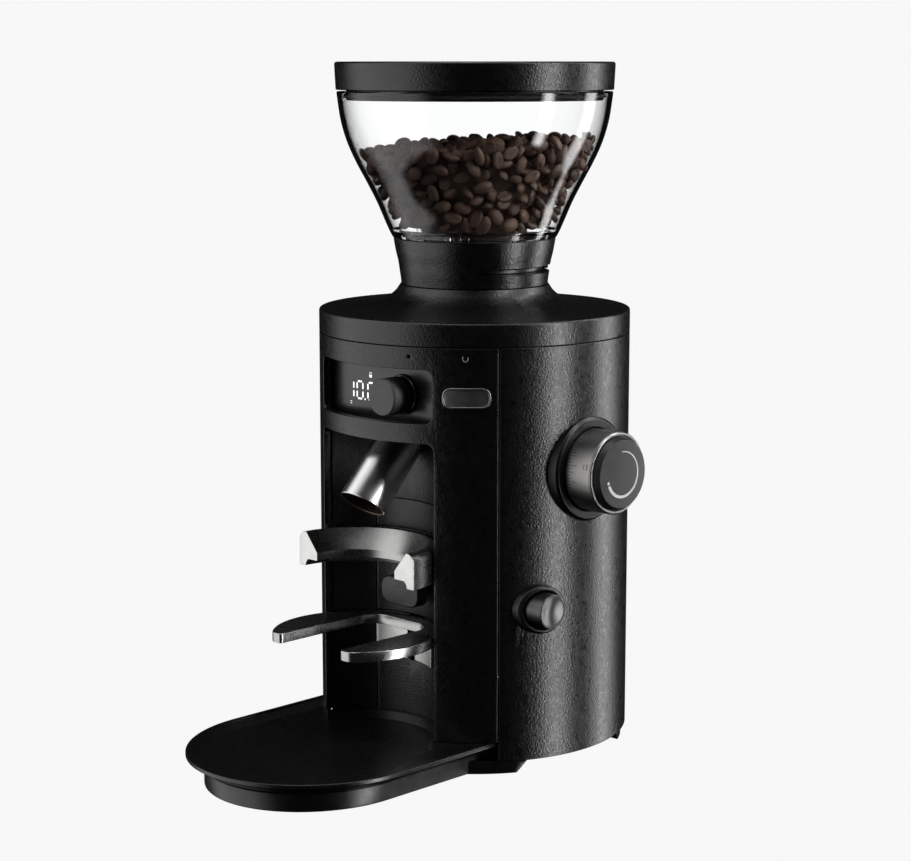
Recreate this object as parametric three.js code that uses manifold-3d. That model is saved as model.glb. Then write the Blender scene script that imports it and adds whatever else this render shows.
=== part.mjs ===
// Burr coffee grinder: a round table-top body with a hopper on top, a half-round bay with two
// portafilter forks in front, and a dial and a button on the right side.
// Millimetres, +Z up, front towards -Y. The origin is on the ground, on the axis of the body.
import * as THREE from "three";
import { mergeVertices } from "three/addons/utils/BufferGeometryUtils.js";
import Module from "manifold-3d";

const wasm = await Module();
wasm.setup();

// ---- Driving dimensions ----
const GAP = 0.3; // between pieces that touch
const FAR = 400; // reach of a cutting tool past the whole object
const FINE = 52; // facets round the body
const MEDIUM = 28; // facets round middle-sized pieces
const COARSE = 16; // facets round small pieces

const BODY_R = 95; // outside of the round body
const SHELL_T = 3;
const PANEL_T = 4.5;
const PANEL_HALF_DEG = 53; // the front panel spans this far each side
const SEAM_Z = 254.8; // joint between body and top cover
const SHELL_BOTTOM_Z = 9;
const PANEL_BOTTOM_Z = 21;

const BASE_BOTTOM_Z = 1;
const BASE_TOP_Z = 12;
const PLINTH_R = 92.3;

const FOOT_R = 9;
const FOOT_H = 3.2;
const FEET = [
  [-42, -160],
  [42, -160],
  [-58, 56],
  [58, 56],
];

const TRAY_HALF = 73.7;
const TRAY_ARC_Y = -134; // where the straight sides end and the rounded front begins
const TRAY_REACH = 77; // from there to the front of the rim
const TRAY_RIM_Z = 20.6;
const TRAY_FLOOR_Z = 15.3;

const BAY_Y = -101; // vertical axis of the round bay and of both forks
const BAY_R = 51;
const BAY_TOP_Z = 198.5;
const BAY_HALF_WIDTH = 47.4; // the panel's opening in front of the bay
const LINER_T = 3.4;
const RAIL_HALF = 27; // the strip of rails down the back of the bay
const RAIL_T = 2.9;
const RAIL_SEAMS_Z = [83.6, 136.5, 154.5];

const FORK_R = 49.4;
const UPPER_FORK_Z = 115.8;
const LOWER_FORK_Z = 77.1;
const LOWER_FORK_T = 6;
const LOWER_FORK_TIP_Y = -137.5;
const LOWER_FORK_SLOT_HALF = 25.8;
const LOWER_FORK_SKIRT_Z = 56.5;
const LOWER_FORK_SKIRT_T = 3.4;
const LOWER_FORK_SKIRT_SPAN = 31;
const LOWER_FORK_SPLIT_HALF = 3.2;

const PAD_Z = 100.7;

const SPOUT_R = 14.25;
const SPOUT_T = 1.2;
const SPOUT_MOUTH_Y = -95;
const SPOUT_MOUTH_Z = 159;
const SPOUT_TILT_DEG = 43; // the tube leans back this far from upright
const SPOUT_CUT_DEG = 36; // its mouth is cut this far from level
const SPOUT_LENGTH = 66;

const WINDOW_HALF = 46.5;
const WINDOW_Z = [210, 241.7];
const WINDOW_CORNER = 6;
const GLASS_Y = -76.5;
const ENCODER_X = 17;
const ENCODER_Z = 224.3;
const ENCODER_R = 11;
const ENCODER_FRONT_Y = -95;

const DECK_Z = [187, 191];
const MOTOR_R = 38;
const MOTOR_BOTTOM_Z = 66;
const SHAFT_R = 6;
const CHAMBER_R = 46;
const CHAMBER_BORE = 40.2;
const CHAMBER_FLOOR_Z = 211;
const CHAMBER_TOP_Z = 240;
const BURR_R = 27;
const BURR_T = 6;
const BURR_BORE = 15;
const BURR_GAP = 0.5;
const LOWER_BURR_Z = 220.3;

const DIAL_Z = 180;
const DIAL_R = 24.4;
const DIAL_FRONT_X = 116.7;
const GEAR_X = 60; // axis of the upright shaft between dial and adjusting ring
const GEAR_R = 10; // pitch radius of its bevel and pinion
const RING_Z = 240.6;
const RING_T = 5;

const BUTTON_Y = -36.3;
const BUTTON_Z = 100.4;
const BUTTON_R = 10.5;
const BUTTON_FRONT_X = 99.4;

const NECK_Z = 283; // joint between top cover and hopper collar
const COLLAR_TOP_Z = 311.4;
const GATE_Z = 292;
const GATE_T = 2.4;
const GATE_TAB_DEG = 172; // bearing of the tab while the gate is open
const BOWL_TOP_Z = 399;
const BOWL_T = 3;
const LID_Z = [399.9, 416.6];

// ---- Building blocks ----

// A closed three.js geometry as a manifold-3d solid that faces outwards.
function solid(geometry) {
  const bare = geometry.index ? geometry.toNonIndexed() : geometry.clone();
  bare.deleteAttribute("normal");
  bare.deleteAttribute("uv");
  const merged = mergeVertices(bare, 1e-4);
  const corners = merged.index.array;
  const kept = [];
  for (let i = 0; i < corners.length; i += 3) {
    const [a, b, c] = corners.slice(i, i + 3);
    if (a !== b && b !== c && c !== a) kept.push(a, b, c);
  }
  const build = (triangles) =>
    new wasm.Manifold(
      new wasm.Mesh({
        numProp: 3,
        vertProperties: merged.attributes.position.array,
        triVerts: new Uint32Array(triangles),
      }),
    );
  const made = build(kept);
  return made.volume() < 0 ? build(kept.reverse()) : made;
}

// A [radius, z] outline turned about Z. The outline closes on itself.
function turned(outline, facets = MEDIUM) {
  const points = [...outline, outline[0]].map(([r, z]) => new THREE.Vector2(r, z));
  const lathe = new THREE.LatheGeometry(points, facets);
  return solid(lathe.rotateX(Math.PI / 2));
}

function rod(radius, low, high, facets = MEDIUM) {
  const outline = [[0, low], [radius, low], [radius, high], [0, high]];
  return turned(outline, facets);
}

function ring(outer, inner, low, high, facets = MEDIUM) {
  const outline = [[inner, low], [outer, low], [outer, high], [inner, high]];
  return turned(outline, facets);
}

function block([x0, y0, z0], [x1, y1, z1]) {
  const box = new THREE.BoxGeometry(x1 - x0, y1 - y0, z1 - z0);
  return solid(box.translate((x0 + x1) / 2, (y0 + y1) / 2, (z0 + z1) / 2));
}

// A flat outline raised from z = low to z = high.
function prism(shape, low, high, curveSegments = 12) {
  const depth = high - low;
  const made = new THREE.ExtrudeGeometry(shape, { depth, bevelEnabled: false, curveSegments });
  return solid(made.translate(0, 0, low));
}

// A piece drawn along +Z laid along +X: its own x becomes y and its own y becomes z.
const alongX = (piece) => piece.rotate([90, 0, 90]);

// A piece drawn along +Z laid along +Y: its own x stays x and its own y becomes -z.
const alongY = (piece) => piece.rotate([-90, 0, 0]);

// An outline in x and z pushed from y = near to y = far.
const pushedY = (shape, near, far, curveSegments) =>
  prism(shape, -far, -near, curveSegments).rotate([90, 0, 0]);

function polygon(points) {
  return new THREE.Shape(points.map(([x, y]) => new THREE.Vector2(x, y)));
}

function roundedRectangle(x0, y0, x1, y1, radius) {
  const shape = new THREE.Shape();
  shape.absarc(x1 - radius, y0 + radius, radius, -Math.PI / 2, 0, false);
  shape.absarc(x1 - radius, y1 - radius, radius, 0, Math.PI / 2, false);
  shape.absarc(x0 + radius, y1 - radius, radius, Math.PI / 2, Math.PI, false);
  shape.absarc(x0 + radius, y0 + radius, radius, Math.PI, 1.5 * Math.PI, false);
  return shape;
}

// The slice of space between two bearings, counted from the front towards +X in degrees.
function wedge(from, to) {
  const radians = (bearing) => THREE.MathUtils.degToRad(bearing - 90);
  const shape = new THREE.Shape();
  shape.moveTo(0, 0);
  shape.lineTo(FAR * Math.cos(radians(from)), FAR * Math.sin(radians(from)));
  shape.absarc(0, 0, FAR, radians(from), radians(to), false);
  return prism(shape, -FAR, FAR, COARSE);
}

const above = (z) => block([-FAR, -FAR, z], [FAR, FAR, FAR * 2]);
const frontOf = (y) => block([-FAR, -FAR, -FAR], [FAR, y, FAR * 2]);
const inBay = (piece) => piece.translate([0, BAY_Y, 0]);
const joined = (pieces) => pieces.reduce((sum, piece) => sum.add(piece));

// ---- Base, feet and tray ----

function basePlate() {
  const footEnd = 46;
  const slope = 6;
  const disc = rod(PLINTH_R - 1, SHELL_BOTTOM_Z - GAP, BASE_TOP_Z);
  const plinth = rod(PLINTH_R, BASE_BOTTOM_Z, SHELL_BOTTOM_Z - GAP, FINE);
  const span = polygon([
    [-footEnd, BASE_BOTTOM_Z],
    [footEnd, BASE_BOTTOM_Z],
    [footEnd - slope, SHELL_BOTTOM_Z],
    [slope - footEnd, SHELL_BOTTOM_Z],
  ]);
  const arch = alongX(prism(span, -FAR, FAR));
  const tongueHalf = 61.9;
  const tongue = new THREE.Shape();
  tongue.moveTo(tongueHalf, -50);
  tongue.lineTo(-tongueHalf, -50);
  tongue.lineTo(-tongueHalf, TRAY_ARC_Y);
  tongue.absellipse(0, TRAY_ARC_Y, tongueHalf, 67, Math.PI, 2 * Math.PI, false);
  const core = rod(60, SHELL_BOTTOM_Z - 3, BASE_TOP_Z);
  const body = disc
    .add(plinth.subtract(arch))
    .add(core)
    .add(prism(tongue, BASE_BOTTOM_Z, BASE_TOP_Z, COARSE));
  const slots = [-1.5, -0.5, 0.5, 1.5].map((i) =>
    prism(roundedRectangle(i * 12 - 2, 2, i * 12 + 2, 34, 1.9), -1, BASE_TOP_Z + 1, 3),
  );
  const pocketTop = FOOT_H + GAP;
  const pockets = FEET.map(([x, y]) =>
    rod(FOOT_R + GAP, -1, pocketTop, COARSE).translate([x, y, 0]),
  );
  return body.subtract(joined([...slots, ...pockets]));
}

function foot([x, y]) {
  const outline = [[0, 0], [FOOT_R - 0.6, 0], [FOOT_R, 0.6], [FOOT_R, FOOT_H], [0, FOOT_H]];
  return turned(outline, COARSE).translate([x, y, 0]);
}

// A turned outline stretched into the rounded front, with the same outline run straight back.
function trayShape(outline) {
  const stretch = TRAY_REACH / TRAY_HALF;
  const front = turned(outline, FINE)
    .scale([1, stretch, 1])
    .translate([0, TRAY_ARC_Y, 0])
    .intersect(frontOf(TRAY_ARC_Y));
  const mirrored = [...outline, ...outline.slice().reverse().map(([x, z]) => [-x, z])];
  const section = mirrored.filter(([x], i) => x !== 0 || i < outline.length);
  return front.add(pushedY(polygon(section), TRAY_ARC_Y - 0.01, -45));
}

// What a tray may fill: outside the body, or in the bay, drawn in by a margin.
function trayRoom(margin) {
  const nearBody = rod(BODY_R - 3 + margin, 0, 60, FINE);
  const bay = inBay(rod(BAY_R - 0.5 - margin, 0, 60, FINE));
  return block([-FAR, -FAR, 0], [FAR, 0, 60])
    .subtract(nearBody)
    .add(bay)
    .intersect(wedge(-PANEL_HALF_DEG + 0.6, PANEL_HALF_DEG - 0.6));
}

function tray() {
  const bottom = BASE_TOP_Z + GAP;
  const outside = [
    [0, bottom],
    [62.8, bottom],
    [65.5, 13.1],
    [TRAY_HALF, 18.4],
    [TRAY_HALF, TRAY_RIM_Z],
    [0, TRAY_RIM_Z],
  ];
  const dish = [
    [0, TRAY_FLOOR_Z],
    [60, TRAY_FLOOR_Z],
    [65, 16.2],
    [TRAY_HALF - 3.2, TRAY_RIM_Z + 1],
    [0, TRAY_RIM_Z + 1],
  ];
  const hollow = trayShape(dish).intersect(trayRoom(3));
  return trayShape(outside).intersect(trayRoom(0)).subtract(hollow);
}

// ---- Round body and front panel ----

function dialHole() {
  return alongX(rod(28, 60, 120, MEDIUM)).translate([0, 0, DIAL_Z]);
}

function bodyShell() {
  const top = SEAM_Z - GAP / 2;
  const wall = ring(BODY_R, BODY_R - SHELL_T, SHELL_BOTTOM_Z, top, FINE);
  const buttonHole = alongX(rod(13.3, 60, 120, COARSE)).translate([0, BUTTON_Y, BUTTON_Z]);
  const inlet = block([-14, 60, 22], [14, 120, 48]);
  return wall
    .subtract(wedge(-PANEL_HALF_DEG, PANEL_HALF_DEG))
    .subtract(dialHole())
    .subtract(buttonHole)
    .subtract(inlet);
}

const windowShape = (grow) =>
  roundedRectangle(
    -WINDOW_HALF - grow,
    WINDOW_Z[0] - grow,
    WINDOW_HALF + grow,
    WINDOW_Z[1] + grow,
    WINDOW_CORNER + grow,
  );

function frontPanel() {
  const top = SEAM_Z - GAP / 2;
  const half = PANEL_HALF_DEG - 0.25;
  const wall = ring(BODY_R, BODY_R - PANEL_T, PANEL_BOTTOM_Z, top, FINE).intersect(
    wedge(-half, half),
  );
  const opening = roundedRectangle(-BAY_HALF_WIDTH, -40, BAY_HALF_WIDTH, BAY_TOP_Z, 6);
  return wall
    .subtract(pushedY(windowShape(0), -120, -40, 6))
    .subtract(pushedY(opening, -120, -40, 6));
}

function badge() {
  const plate = pushedY(roundedRectangle(-14, -6, 14, 6, 5.9), -FAR, 0, 6);
  return ring(BODY_R + GAP + 0.9, BODY_R + GAP, 200, 250, FINE)
    .intersect(plate.translate([0, 0, 226]).rotate([0, 0, 41.5]));
}

// ---- Bay: liner, rails and forks ----

const insideBody = () => rod(BODY_R - PANEL_T - GAP, 0, 300, FINE);

function spoutAxisPiece(piece) {
  return piece.rotate([-SPOUT_TILT_DEG, 0, 0]).translate([0, SPOUT_MOUTH_Y, SPOUT_MOUTH_Z]);
}

const spoutClearance = () => spoutAxisPiece(rod(SPOUT_R + 0.5, 0, 90));

// The way through rail and liner for the lower fork's neck.
const neckSlot = () => block([-5.6, -60, 46], [5.6, -30, 90]);

const padHole = () => alongY(rod(3.9, -60, -30, COARSE)).translate([0, 0, PAD_Z]);

function recessLiner() {
  const low = BASE_TOP_Z + GAP;
  const high = BAY_TOP_Z + 1.7;
  const wall = inBay(ring(BAY_R + LINER_T, BAY_R, low, high, FINE));
  const railRoom = block([-RAIL_HALF - GAP, -60, low - 1], [RAIL_HALF + GAP, -30, BAY_TOP_Z]);
  const back = inBay(ring(BAY_R + 5.6, BAY_R + 3.2, low, high, FINE)).intersect(
    block([-RAIL_HALF - 4, -80, 0], [RAIL_HALF + 4, 0, FAR]),
  );
  const ceiling = inBay(rod(BAY_R + LINER_T, BAY_TOP_Z + GAP, high, FINE));
  return wall
    .subtract(railRoom)
    .add(back)
    .add(ceiling)
    .intersect(insideBody())
    .subtract(spoutClearance())
    .subtract(neckSlot())
    .subtract(padHole());
}

// One of the rails stacked down the back of the bay.
function rail(low, high) {
  return inBay(ring(BAY_R + RAIL_T, BAY_R, low + GAP / 2, high - GAP / 2, FINE)).intersect(
    block([-RAIL_HALF, -80, 0], [RAIL_HALF, 0, FAR]),
  );
}

const railLower = () => rail(BASE_TOP_Z + GAP, RAIL_SEAMS_Z[0]).subtract(neckSlot());
const forkBlock = () => rail(RAIL_SEAMS_Z[0], RAIL_SEAMS_Z[1]).subtract(padHole());
const railMiddle = () => rail(RAIL_SEAMS_Z[1], RAIL_SEAMS_Z[2]);
const railTop = () => rail(RAIL_SEAMS_Z[2], BAY_TOP_Z - GAP).subtract(spoutClearance());

// A half ring with a funnel inside that guides grounds into the filter basket.
function forkUpper() {
  const z = UPPER_FORK_Z;
  const shoulder = 5.4;
  const rounding = [0, 30, 60, 90].map((degrees) => {
    const turn = THREE.MathUtils.degToRad(degrees);
    return [
      FORK_R - shoulder + shoulder * Math.cos(turn),
      z + 15.6 + shoulder * Math.sin(turn),
    ];
  });
  const section = [
    [44, z],
    [FORK_R, z],
    ...rounding,
    [43, z + 21],
    [33.5, z + 9.2],
    [33.5, z + 4.2],
    [41.5, z + 4.2],
    [43.2, z + 2.6],
  ];
  const half = inBay(turned(section, FINE)).subtract(frontOf(BAY_Y));
  const lug = block([-14, -56, z + 1], [14, -50.2, z + 15]).intersect(
    inBay(rod(BAY_R - GAP, 0, FAR, FINE)),
  );
  return half.add(lug);
}

// A plate fork with a split skirt that slides down along the strips.
function forkLower() {
  const low = LOWER_FORK_Z;
  const high = low + LOWER_FORK_T;
  const slot = roundedRectangle(-LOWER_FORK_SLOT_HALF, -200, LOWER_FORK_SLOT_HALF, -62, 13);
  const plate = inBay(rod(FORK_R, low, high, FINE))
    .subtract(frontOf(LOWER_FORK_TIP_Y))
    .subtract(prism(slot, low - 1, high + 1));
  const band = ring(FORK_R, FORK_R - LOWER_FORK_SKIRT_T, LOWER_FORK_SKIRT_Z, low + 1, FINE);
  const skirt = inBay(band.intersect(wedge(180 - LOWER_FORK_SKIRT_SPAN, 180 + LOWER_FORK_SKIRT_SPAN)));
  const splitHalf = LOWER_FORK_SPLIT_HALF;
  const split = block([-splitHalf, -60, LOWER_FORK_SKIRT_Z - 1], [splitHalf, -50, low - 2.5]);
  const neck = block([-5, -58, low - 2], [5, -44.6, high]);
  return plate.add(skirt).subtract(split).add(neck);
}

function forkNut() {
  const low = LOWER_FORK_Z - 9;
  return block([-9, -44.2, low], [9, -40.4, low + 20]);
}

function switchPad() {
  const front = -65;
  const rear = -56;
  const half = 16.2;
  const tall = 8.6;
  const face = roundedRectangle(-half, PAD_Z - tall, half, PAD_Z + tall, tall - 0.1);
  const stem = alongY(rod(3.5, rear - 1, -42.5, COARSE)).translate([0, 0, PAD_Z]);
  return pushedY(face, front, rear, 8).add(stem);
}

// ---- Grounds spout ----

function spout() {
  const reach = SPOUT_R * Math.tan(THREE.MathUtils.degToRad(SPOUT_TILT_DEG - SPOUT_CUT_DEG)) + 1;
  const tube = spoutAxisPiece(ring(SPOUT_R, SPOUT_R - SPOUT_T, -reach, SPOUT_LENGTH));
  const belowMouth = block([-FAR, -FAR, -FAR], [FAR, FAR, 0])
    .rotate([-SPOUT_CUT_DEG, 0, 0])
    .translate([0, SPOUT_MOUTH_Y, SPOUT_MOUTH_Z]);
  return tube.subtract(belowMouth);
}

// ---- Grind head and motor ----

function deck() {
  const [low, high] = DECK_Z;
  const plate = rod(BODY_R - SHELL_T - GAP - 0.2, low, high, FINE);
  const bay = inBay(rod(BAY_R + 6, low - 1, high + 1, FINE));
  const front = wedge(-PANEL_HALF_DEG, PANEL_HALF_DEG).subtract(rod(BODY_R - PANEL_T - 1, 0, FAR));
  const chute = block([-19, -60, low - 1], [19, -33, high + 1]);
  const gearRoom = block([GEAR_X - 14, -11.5, low - 1], [FAR, 11.5, high + 1]);
  const dialRoom = block([82, -30, low - 1], [FAR, 30, high + 1]);
  return plate
    .subtract(bay)
    .subtract(front)
    .subtract(chute)
    .subtract(gearRoom)
    .subtract(dialRoom)
    .subtract(rod(SHAFT_R + 2, low - 1, high + 1, COARSE));
}

const POSTS = [
  [-72, 22],
  [-40, 72],
  [40, 72],
  [72, 22],
];

function post([x, y]) {
  return rod(5, BASE_TOP_Z + GAP, DECK_Z[0] - GAP, COARSE).translate([x, y, 0]);
}

function motorBody() {
  const top = DECK_Z[0] - GAP;
  const bore = SHAFT_R + GAP;
  const outline = [
    [bore, MOTOR_BOTTOM_Z],
    [14, MOTOR_BOTTOM_Z],
    [16, MOTOR_BOTTOM_Z + 5],
    [MOTOR_R - 3, MOTOR_BOTTOM_Z + 5],
    [MOTOR_R, MOTOR_BOTTOM_Z + 8],
    [MOTOR_R, top],
    [bore, top],
  ];
  return turned(outline, MEDIUM);
}

function motorShaft() {
  return rod(SHAFT_R, MOTOR_BOTTOM_Z - 6, LOWER_BURR_Z + BURR_T - GAP, COARSE);
}

function grindChamber() {
  const base = DECK_Z[1] + GAP;
  const bore = SHAFT_R + GAP;
  const casting = turned(
    [
      [bore, base],
      [30, base],
      [30, 204],
      [CHAMBER_R, 206],
      [CHAMBER_R, CHAMBER_TOP_Z],
      [CHAMBER_BORE, CHAMBER_TOP_Z],
      [CHAMBER_BORE, CHAMBER_FLOOR_Z],
      [bore, CHAMBER_FLOOR_Z],
    ],
    FINE,
  );
  const cavity = rod(CHAMBER_BORE, CHAMBER_FLOOR_Z, FAR, FINE);
  const sleeve = spoutAxisPiece(rod(SPOUT_R + 3, SPOUT_LENGTH - 10, SPOUT_LENGTH + 14))
    .intersect(above(BAY_TOP_Z + 2.2))
    .subtract(cavity);
  const socket = spoutAxisPiece(rod(SPOUT_R + GAP, 0, SPOUT_LENGTH + GAP));
  const passage = spoutAxisPiece(rod(SPOUT_R - 2, 0, SPOUT_LENGTH + 24));
  return casting.add(sleeve).subtract(socket).subtract(passage);
}

// Slanting cutting grooves across the face of a burr, as one tool.
function grooves(z) {
  const count = 14;
  const groove = block([BURR_BORE - 3, -0.9, z - 0.9], [BURR_R + 2, 0.9, z + 0.9])
    .translate([0, 6, 0]);
  return joined(Array.from({ length: count }, (_, i) => groove.rotate([0, 0, (i * 360) / count])));
}

function lowerBurr() {
  const top = LOWER_BURR_Z + BURR_T;
  return ring(BURR_R, BURR_BORE, LOWER_BURR_Z, top).subtract(grooves(top));
}

function upperBurr() {
  const low = LOWER_BURR_Z + BURR_T + BURR_GAP;
  return ring(BURR_R, BURR_BORE, low, low + BURR_T).subtract(grooves(low));
}

function lowerCarrier() {
  const bore = SHAFT_R + GAP;
  const low = CHAMBER_FLOOR_Z + 0.8;
  const top = LOWER_BURR_Z - GAP;
  const disc = turned([
    [bore, low],
    [30, low],
    [30, top],
    [BURR_BORE - GAP, top],
    [BURR_BORE - GAP, top + 5],
    [bore, top + 5],
  ]);
  const vane = block([28, -2, low], [CHAMBER_BORE - 1, 2, low + 4]);
  return joined([disc, ...[0, 120, 240].map((turn) => vane.rotate([0, 0, turn]))]);
}

function burrNut() {
  const low = LOWER_BURR_Z + BURR_T;
  return rod(7.5, low, low + 5, 6);
}

const CARRIER_NECK_R = 20.6;

function upperCarrier() {
  const low = LOWER_BURR_Z + 2 * BURR_T + BURR_GAP + GAP;
  const body = turned(
    [
      [BURR_BORE, low],
      [CHAMBER_BORE - 0.4, low],
      [CHAMBER_BORE - 0.4, CHAMBER_TOP_Z - 1],
      [CARRIER_NECK_R, CHAMBER_TOP_Z - 1],
      [CARRIER_NECK_R, 250],
      [BURR_BORE, 250],
    ],
    MEDIUM,
  );
  const key = block([CARRIER_NECK_R - 2, -2.5, CHAMBER_TOP_Z - 2], [24, 2.5, 248]);
  return body.add(key).add(key.rotate([0, 0, 180]));
}

function adjustRing() {
  const outer = GEAR_X - GEAR_R - 0.4;
  const wheel = ring(outer, CARRIER_NECK_R + 0.4, RING_Z, RING_Z + RING_T, FINE);
  const keyway = block([10, -2.9, RING_Z - 1], [24.4, 2.9, RING_Z + RING_T + 1]);
  return wheel.subtract(keyway).subtract(keyway.rotate([0, 0, 180]));
}

// A cone that reaches its pitch radius, kept clear of its partner by a small backlash.
function bevel() {
  const backlash = 0.3;
  const small = 6;
  return [
    [0, small],
    [small - backlash, small],
    [GEAR_R + 1 - backlash, GEAR_R + 1],
    [0, GEAR_R + 1],
  ];
}

function transferShaft() {
  const lower = turned(bevel(), COARSE).translate([0, 0, DIAL_Z]);
  const shaft = rod(3, DIAL_Z + 7, RING_Z + RING_T + 2, COARSE);
  const pinion = rod(GEAR_R - 0.4, RING_Z, RING_Z + RING_T, COARSE);
  return joined([lower, shaft, pinion]).translate([GEAR_X, 0, 0]);
}

function gearBracket() {
  const low = DECK_Z[1] + GAP;
  const legs = [-17, 12].map((y) => block([50, y, low], [70, y + 5, low + 11]));
  const bridge = block([50, -17, low + 6], [70, 17, low + 11]);
  return joined([bridge, ...legs]).subtract(
    rod(3 + GAP, 0, FAR, COARSE).translate([GEAR_X, 0, 0]),
  );
}

// ---- Grind dial on the right side ----

function knobShaft() {
  const cone = turned(bevel(), COARSE).translate([0, 0, GEAR_X]);
  const shaft = rod(4, GEAR_X + 8, DIAL_FRONT_X - 12, COARSE);
  return alongX(cone.add(shaft)).translate([0, 0, DIAL_Z]);
}

function knobRing() {
  const face = 97;
  const flange = alongX(rod(31, 84, face)).translate([0, 0, DIAL_Z]).subtract(
    rod(BODY_R + GAP, 0, FAR, FINE),
  );
  const mouth = 28.4;
  const opening = turned([
    [0, 88],
    [DIAL_R + 0.8, 88],
    [DIAL_R + 0.8, face - 4],
    [mouth, face],
    [mouth, face + 5],
    [0, face + 5],
  ]);
  const cup = rod(27.6, 84, face)
    .subtract(opening)
    .add(rod(9, 73, 85, COARSE))
    .subtract(rod(4.5, 60, 100, COARSE));
  const atDial = (piece) => alongX(piece).translate([0, 0, DIAL_Z]);
  return atDial(cup).add(flange.subtract(atDial(opening)));
}

function dialKnob() {
  const front = DIAL_FRONT_X;
  const barrel = turned(
    [
      [4 + GAP, 89],
      [DIAL_R, 89],
      [DIAL_R, front - 1.2],
      [DIAL_R - 0.9, front],
      [22.1, front],
      [22.1, front - 2],
      [4 + GAP, front - 2],
    ],
    MEDIUM,
  );
  return alongX(barrel).translate([0, 0, DIAL_Z]);
}

function dialCap() {
  const back = DIAL_FRONT_X - 1.7;
  const front = DIAL_FRONT_X + 3.7;
  const outline = [[0, back], [21.8, back], [21.8, back + 2], [20, front], [0, front]];
  return alongX(turned(outline, MEDIUM)).translate([0, 0, DIAL_Z]);
}

// ---- Push button on the right side ----

const atButton = (piece) => alongX(piece).translate([0, BUTTON_Y, BUTTON_Z]);

function buttonRing() {
  const outside = rod(BODY_R + 4.6, 0, FAR, FINE);
  const flange = atButton(rod(14.4, 60, 120)).subtract(rod(BODY_R + GAP, 0, FAR, FINE));
  const sleeve = atButton(rod(13, 72, 120));
  const bore = atButton(rod(BUTTON_R + 0.4, 60, 130));
  return flange.add(sleeve).intersect(outside).subtract(bore);
}

function sideButton() {
  const front = BUTTON_FRONT_X;
  const outline = [
    [0, 66],
    [3, 66],
    [3, 76],
    [BUTTON_R, 76],
    [BUTTON_R, front - 0.8],
    [BUTTON_R - 0.8, front],
    [7, front - 1],
    [3.5, front - 1.6],
    [0, front - 1.8],
  ];
  return atButton(turned(outline, MEDIUM));
}

function buttonSwitch() {
  return block([55, BUTTON_Y - 7, BUTTON_Z - 6], [62.8, BUTTON_Y + 7, BUTTON_Z + 6]);
}

// ---- Display and encoder ----

function displayFrame() {
  return pushedY(windowShape(2), -95, GLASS_Y - GAP, 6)
    .subtract(pushedY(windowShape(0), -120, -40, 6))
    .intersect(insideBody());
}

const atEncoder = (piece) => alongY(piece).translate([ENCODER_X, 0, ENCODER_Z]);

function displayGlass() {
  const hole = atEncoder(rod(5.6, -90, -60, COARSE));
  return pushedY(windowShape(1.5), GLASS_Y, GLASS_Y + 2, 6).subtract(hole);
}

function displayBoard() {
  return block([-42, -66, WINDOW_Z[0] + 9.5], [42, -64.4, WINDOW_Z[1] - 1]);
}

function encoderBody() {
  const half = 6;
  const box = block([ENCODER_X - half, -72.4, ENCODER_Z - half], [ENCODER_X + half, -66.3, ENCODER_Z + half]);
  const bush = atEncoder(rod(4.9, -76, -71, COARSE));
  return box.add(bush).subtract(atEncoder(rod(3 + GAP, -90, -67.5, COARSE)));
}

function encoderShaft() {
  return atEncoder(rod(3, ENCODER_FRONT_Y + 5, -69.5, COARSE));
}

function encoderKnob() {
  const front = ENCODER_FRONT_Y;
  const back = -80.5;
  const outline = [
    [0, front],
    [ENCODER_R - 0.8, front],
    [ENCODER_R, front + 0.8],
    [ENCODER_R, back],
    [3 + GAP, back],
    [3 + GAP, front + 4.7],
    [0, front + 4.7],
  ];
  return atEncoder(turned(outline, MEDIUM));
}

// ---- Electrics at the back ----

function controlBoard() {
  return block([-34, 50, 45], [34, 51.6, 165]);
}

function powerSupply() {
  return block([-25, 51.9, 70], [25, 70, 125]);
}

function mainsInlet() {
  const housing = block([-13.6, 68, 22.4], [13.6, 94, 47.6]);
  const socket = block([-10.5, 78, 27], [10.5, 100, 43]);
  const blades = [[-7, 33], [7, 33], [0, 38]].map(([x, z]) =>
    block([x - 1, 76, z - 2], [x + 1, 92, z + 2]),
  );
  return joined([housing.subtract(socket), ...blades]);
}

// ---- Top cover and throat ----

function topCover() {
  const low = SEAM_Z + GAP / 2;
  const outline = [
    [BODY_R - SHELL_T, low],
    [BODY_R, low],
    [BODY_R, 266.6],
    [92.5, 269.1],
    [72, 270.6],
    [58, 273],
    [49.5, 278],
    [45.6, NECK_Z],
    [42.3, NECK_Z],
    [42.3, 277],
    [54, 267.8],
    [BODY_R - SHELL_T, 266],
  ];
  return turned(outline, FINE);
}

// The funnel inside the cover that leads beans down to the burrs.
function beanThroat() {
  const tip = BURR_BORE - 0.5;
  const outline = [
    [42, NECK_Z],
    [40, NECK_Z],
    [tip - 1.2, 258],
    [tip - 1.2, 244],
    [tip, 244],
    [tip, 256.5],
    [42, 280.6],
  ];
  return turned(outline, MEDIUM);
}

// ---- Hopper: collar, gate, bowl, lid ----

// Windows that line up in the collar's floor and in the gate when the hopper is open.
function beanWindows(low, high) {
  const band = ring(36, 8, low, high);
  return band.intersect(wedge(-30, 30)).add(band.intersect(wedge(150, 210)));
}

function hopperCollar() {
  const low = NECK_Z + GAP;
  const outline = [
    [0, low + 2],
    [41, low + 2],
    [41, low],
    [44.7, low],
    [45.6, 291.4],
    [47.4, 300.5],
    [49.7, COLLAR_TOP_Z],
    [46.4, COLLAR_TOP_Z],
    [44.2, 300.5],
    [42, 291.4],
    [0, 291.4],
  ];
  const slot = ring(60, 41, 291, 295.4, FINE).intersect(wedge(50, 180));
  return turned(outline, FINE).subtract(slot).subtract(beanWindows(280, 300));
}

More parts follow.
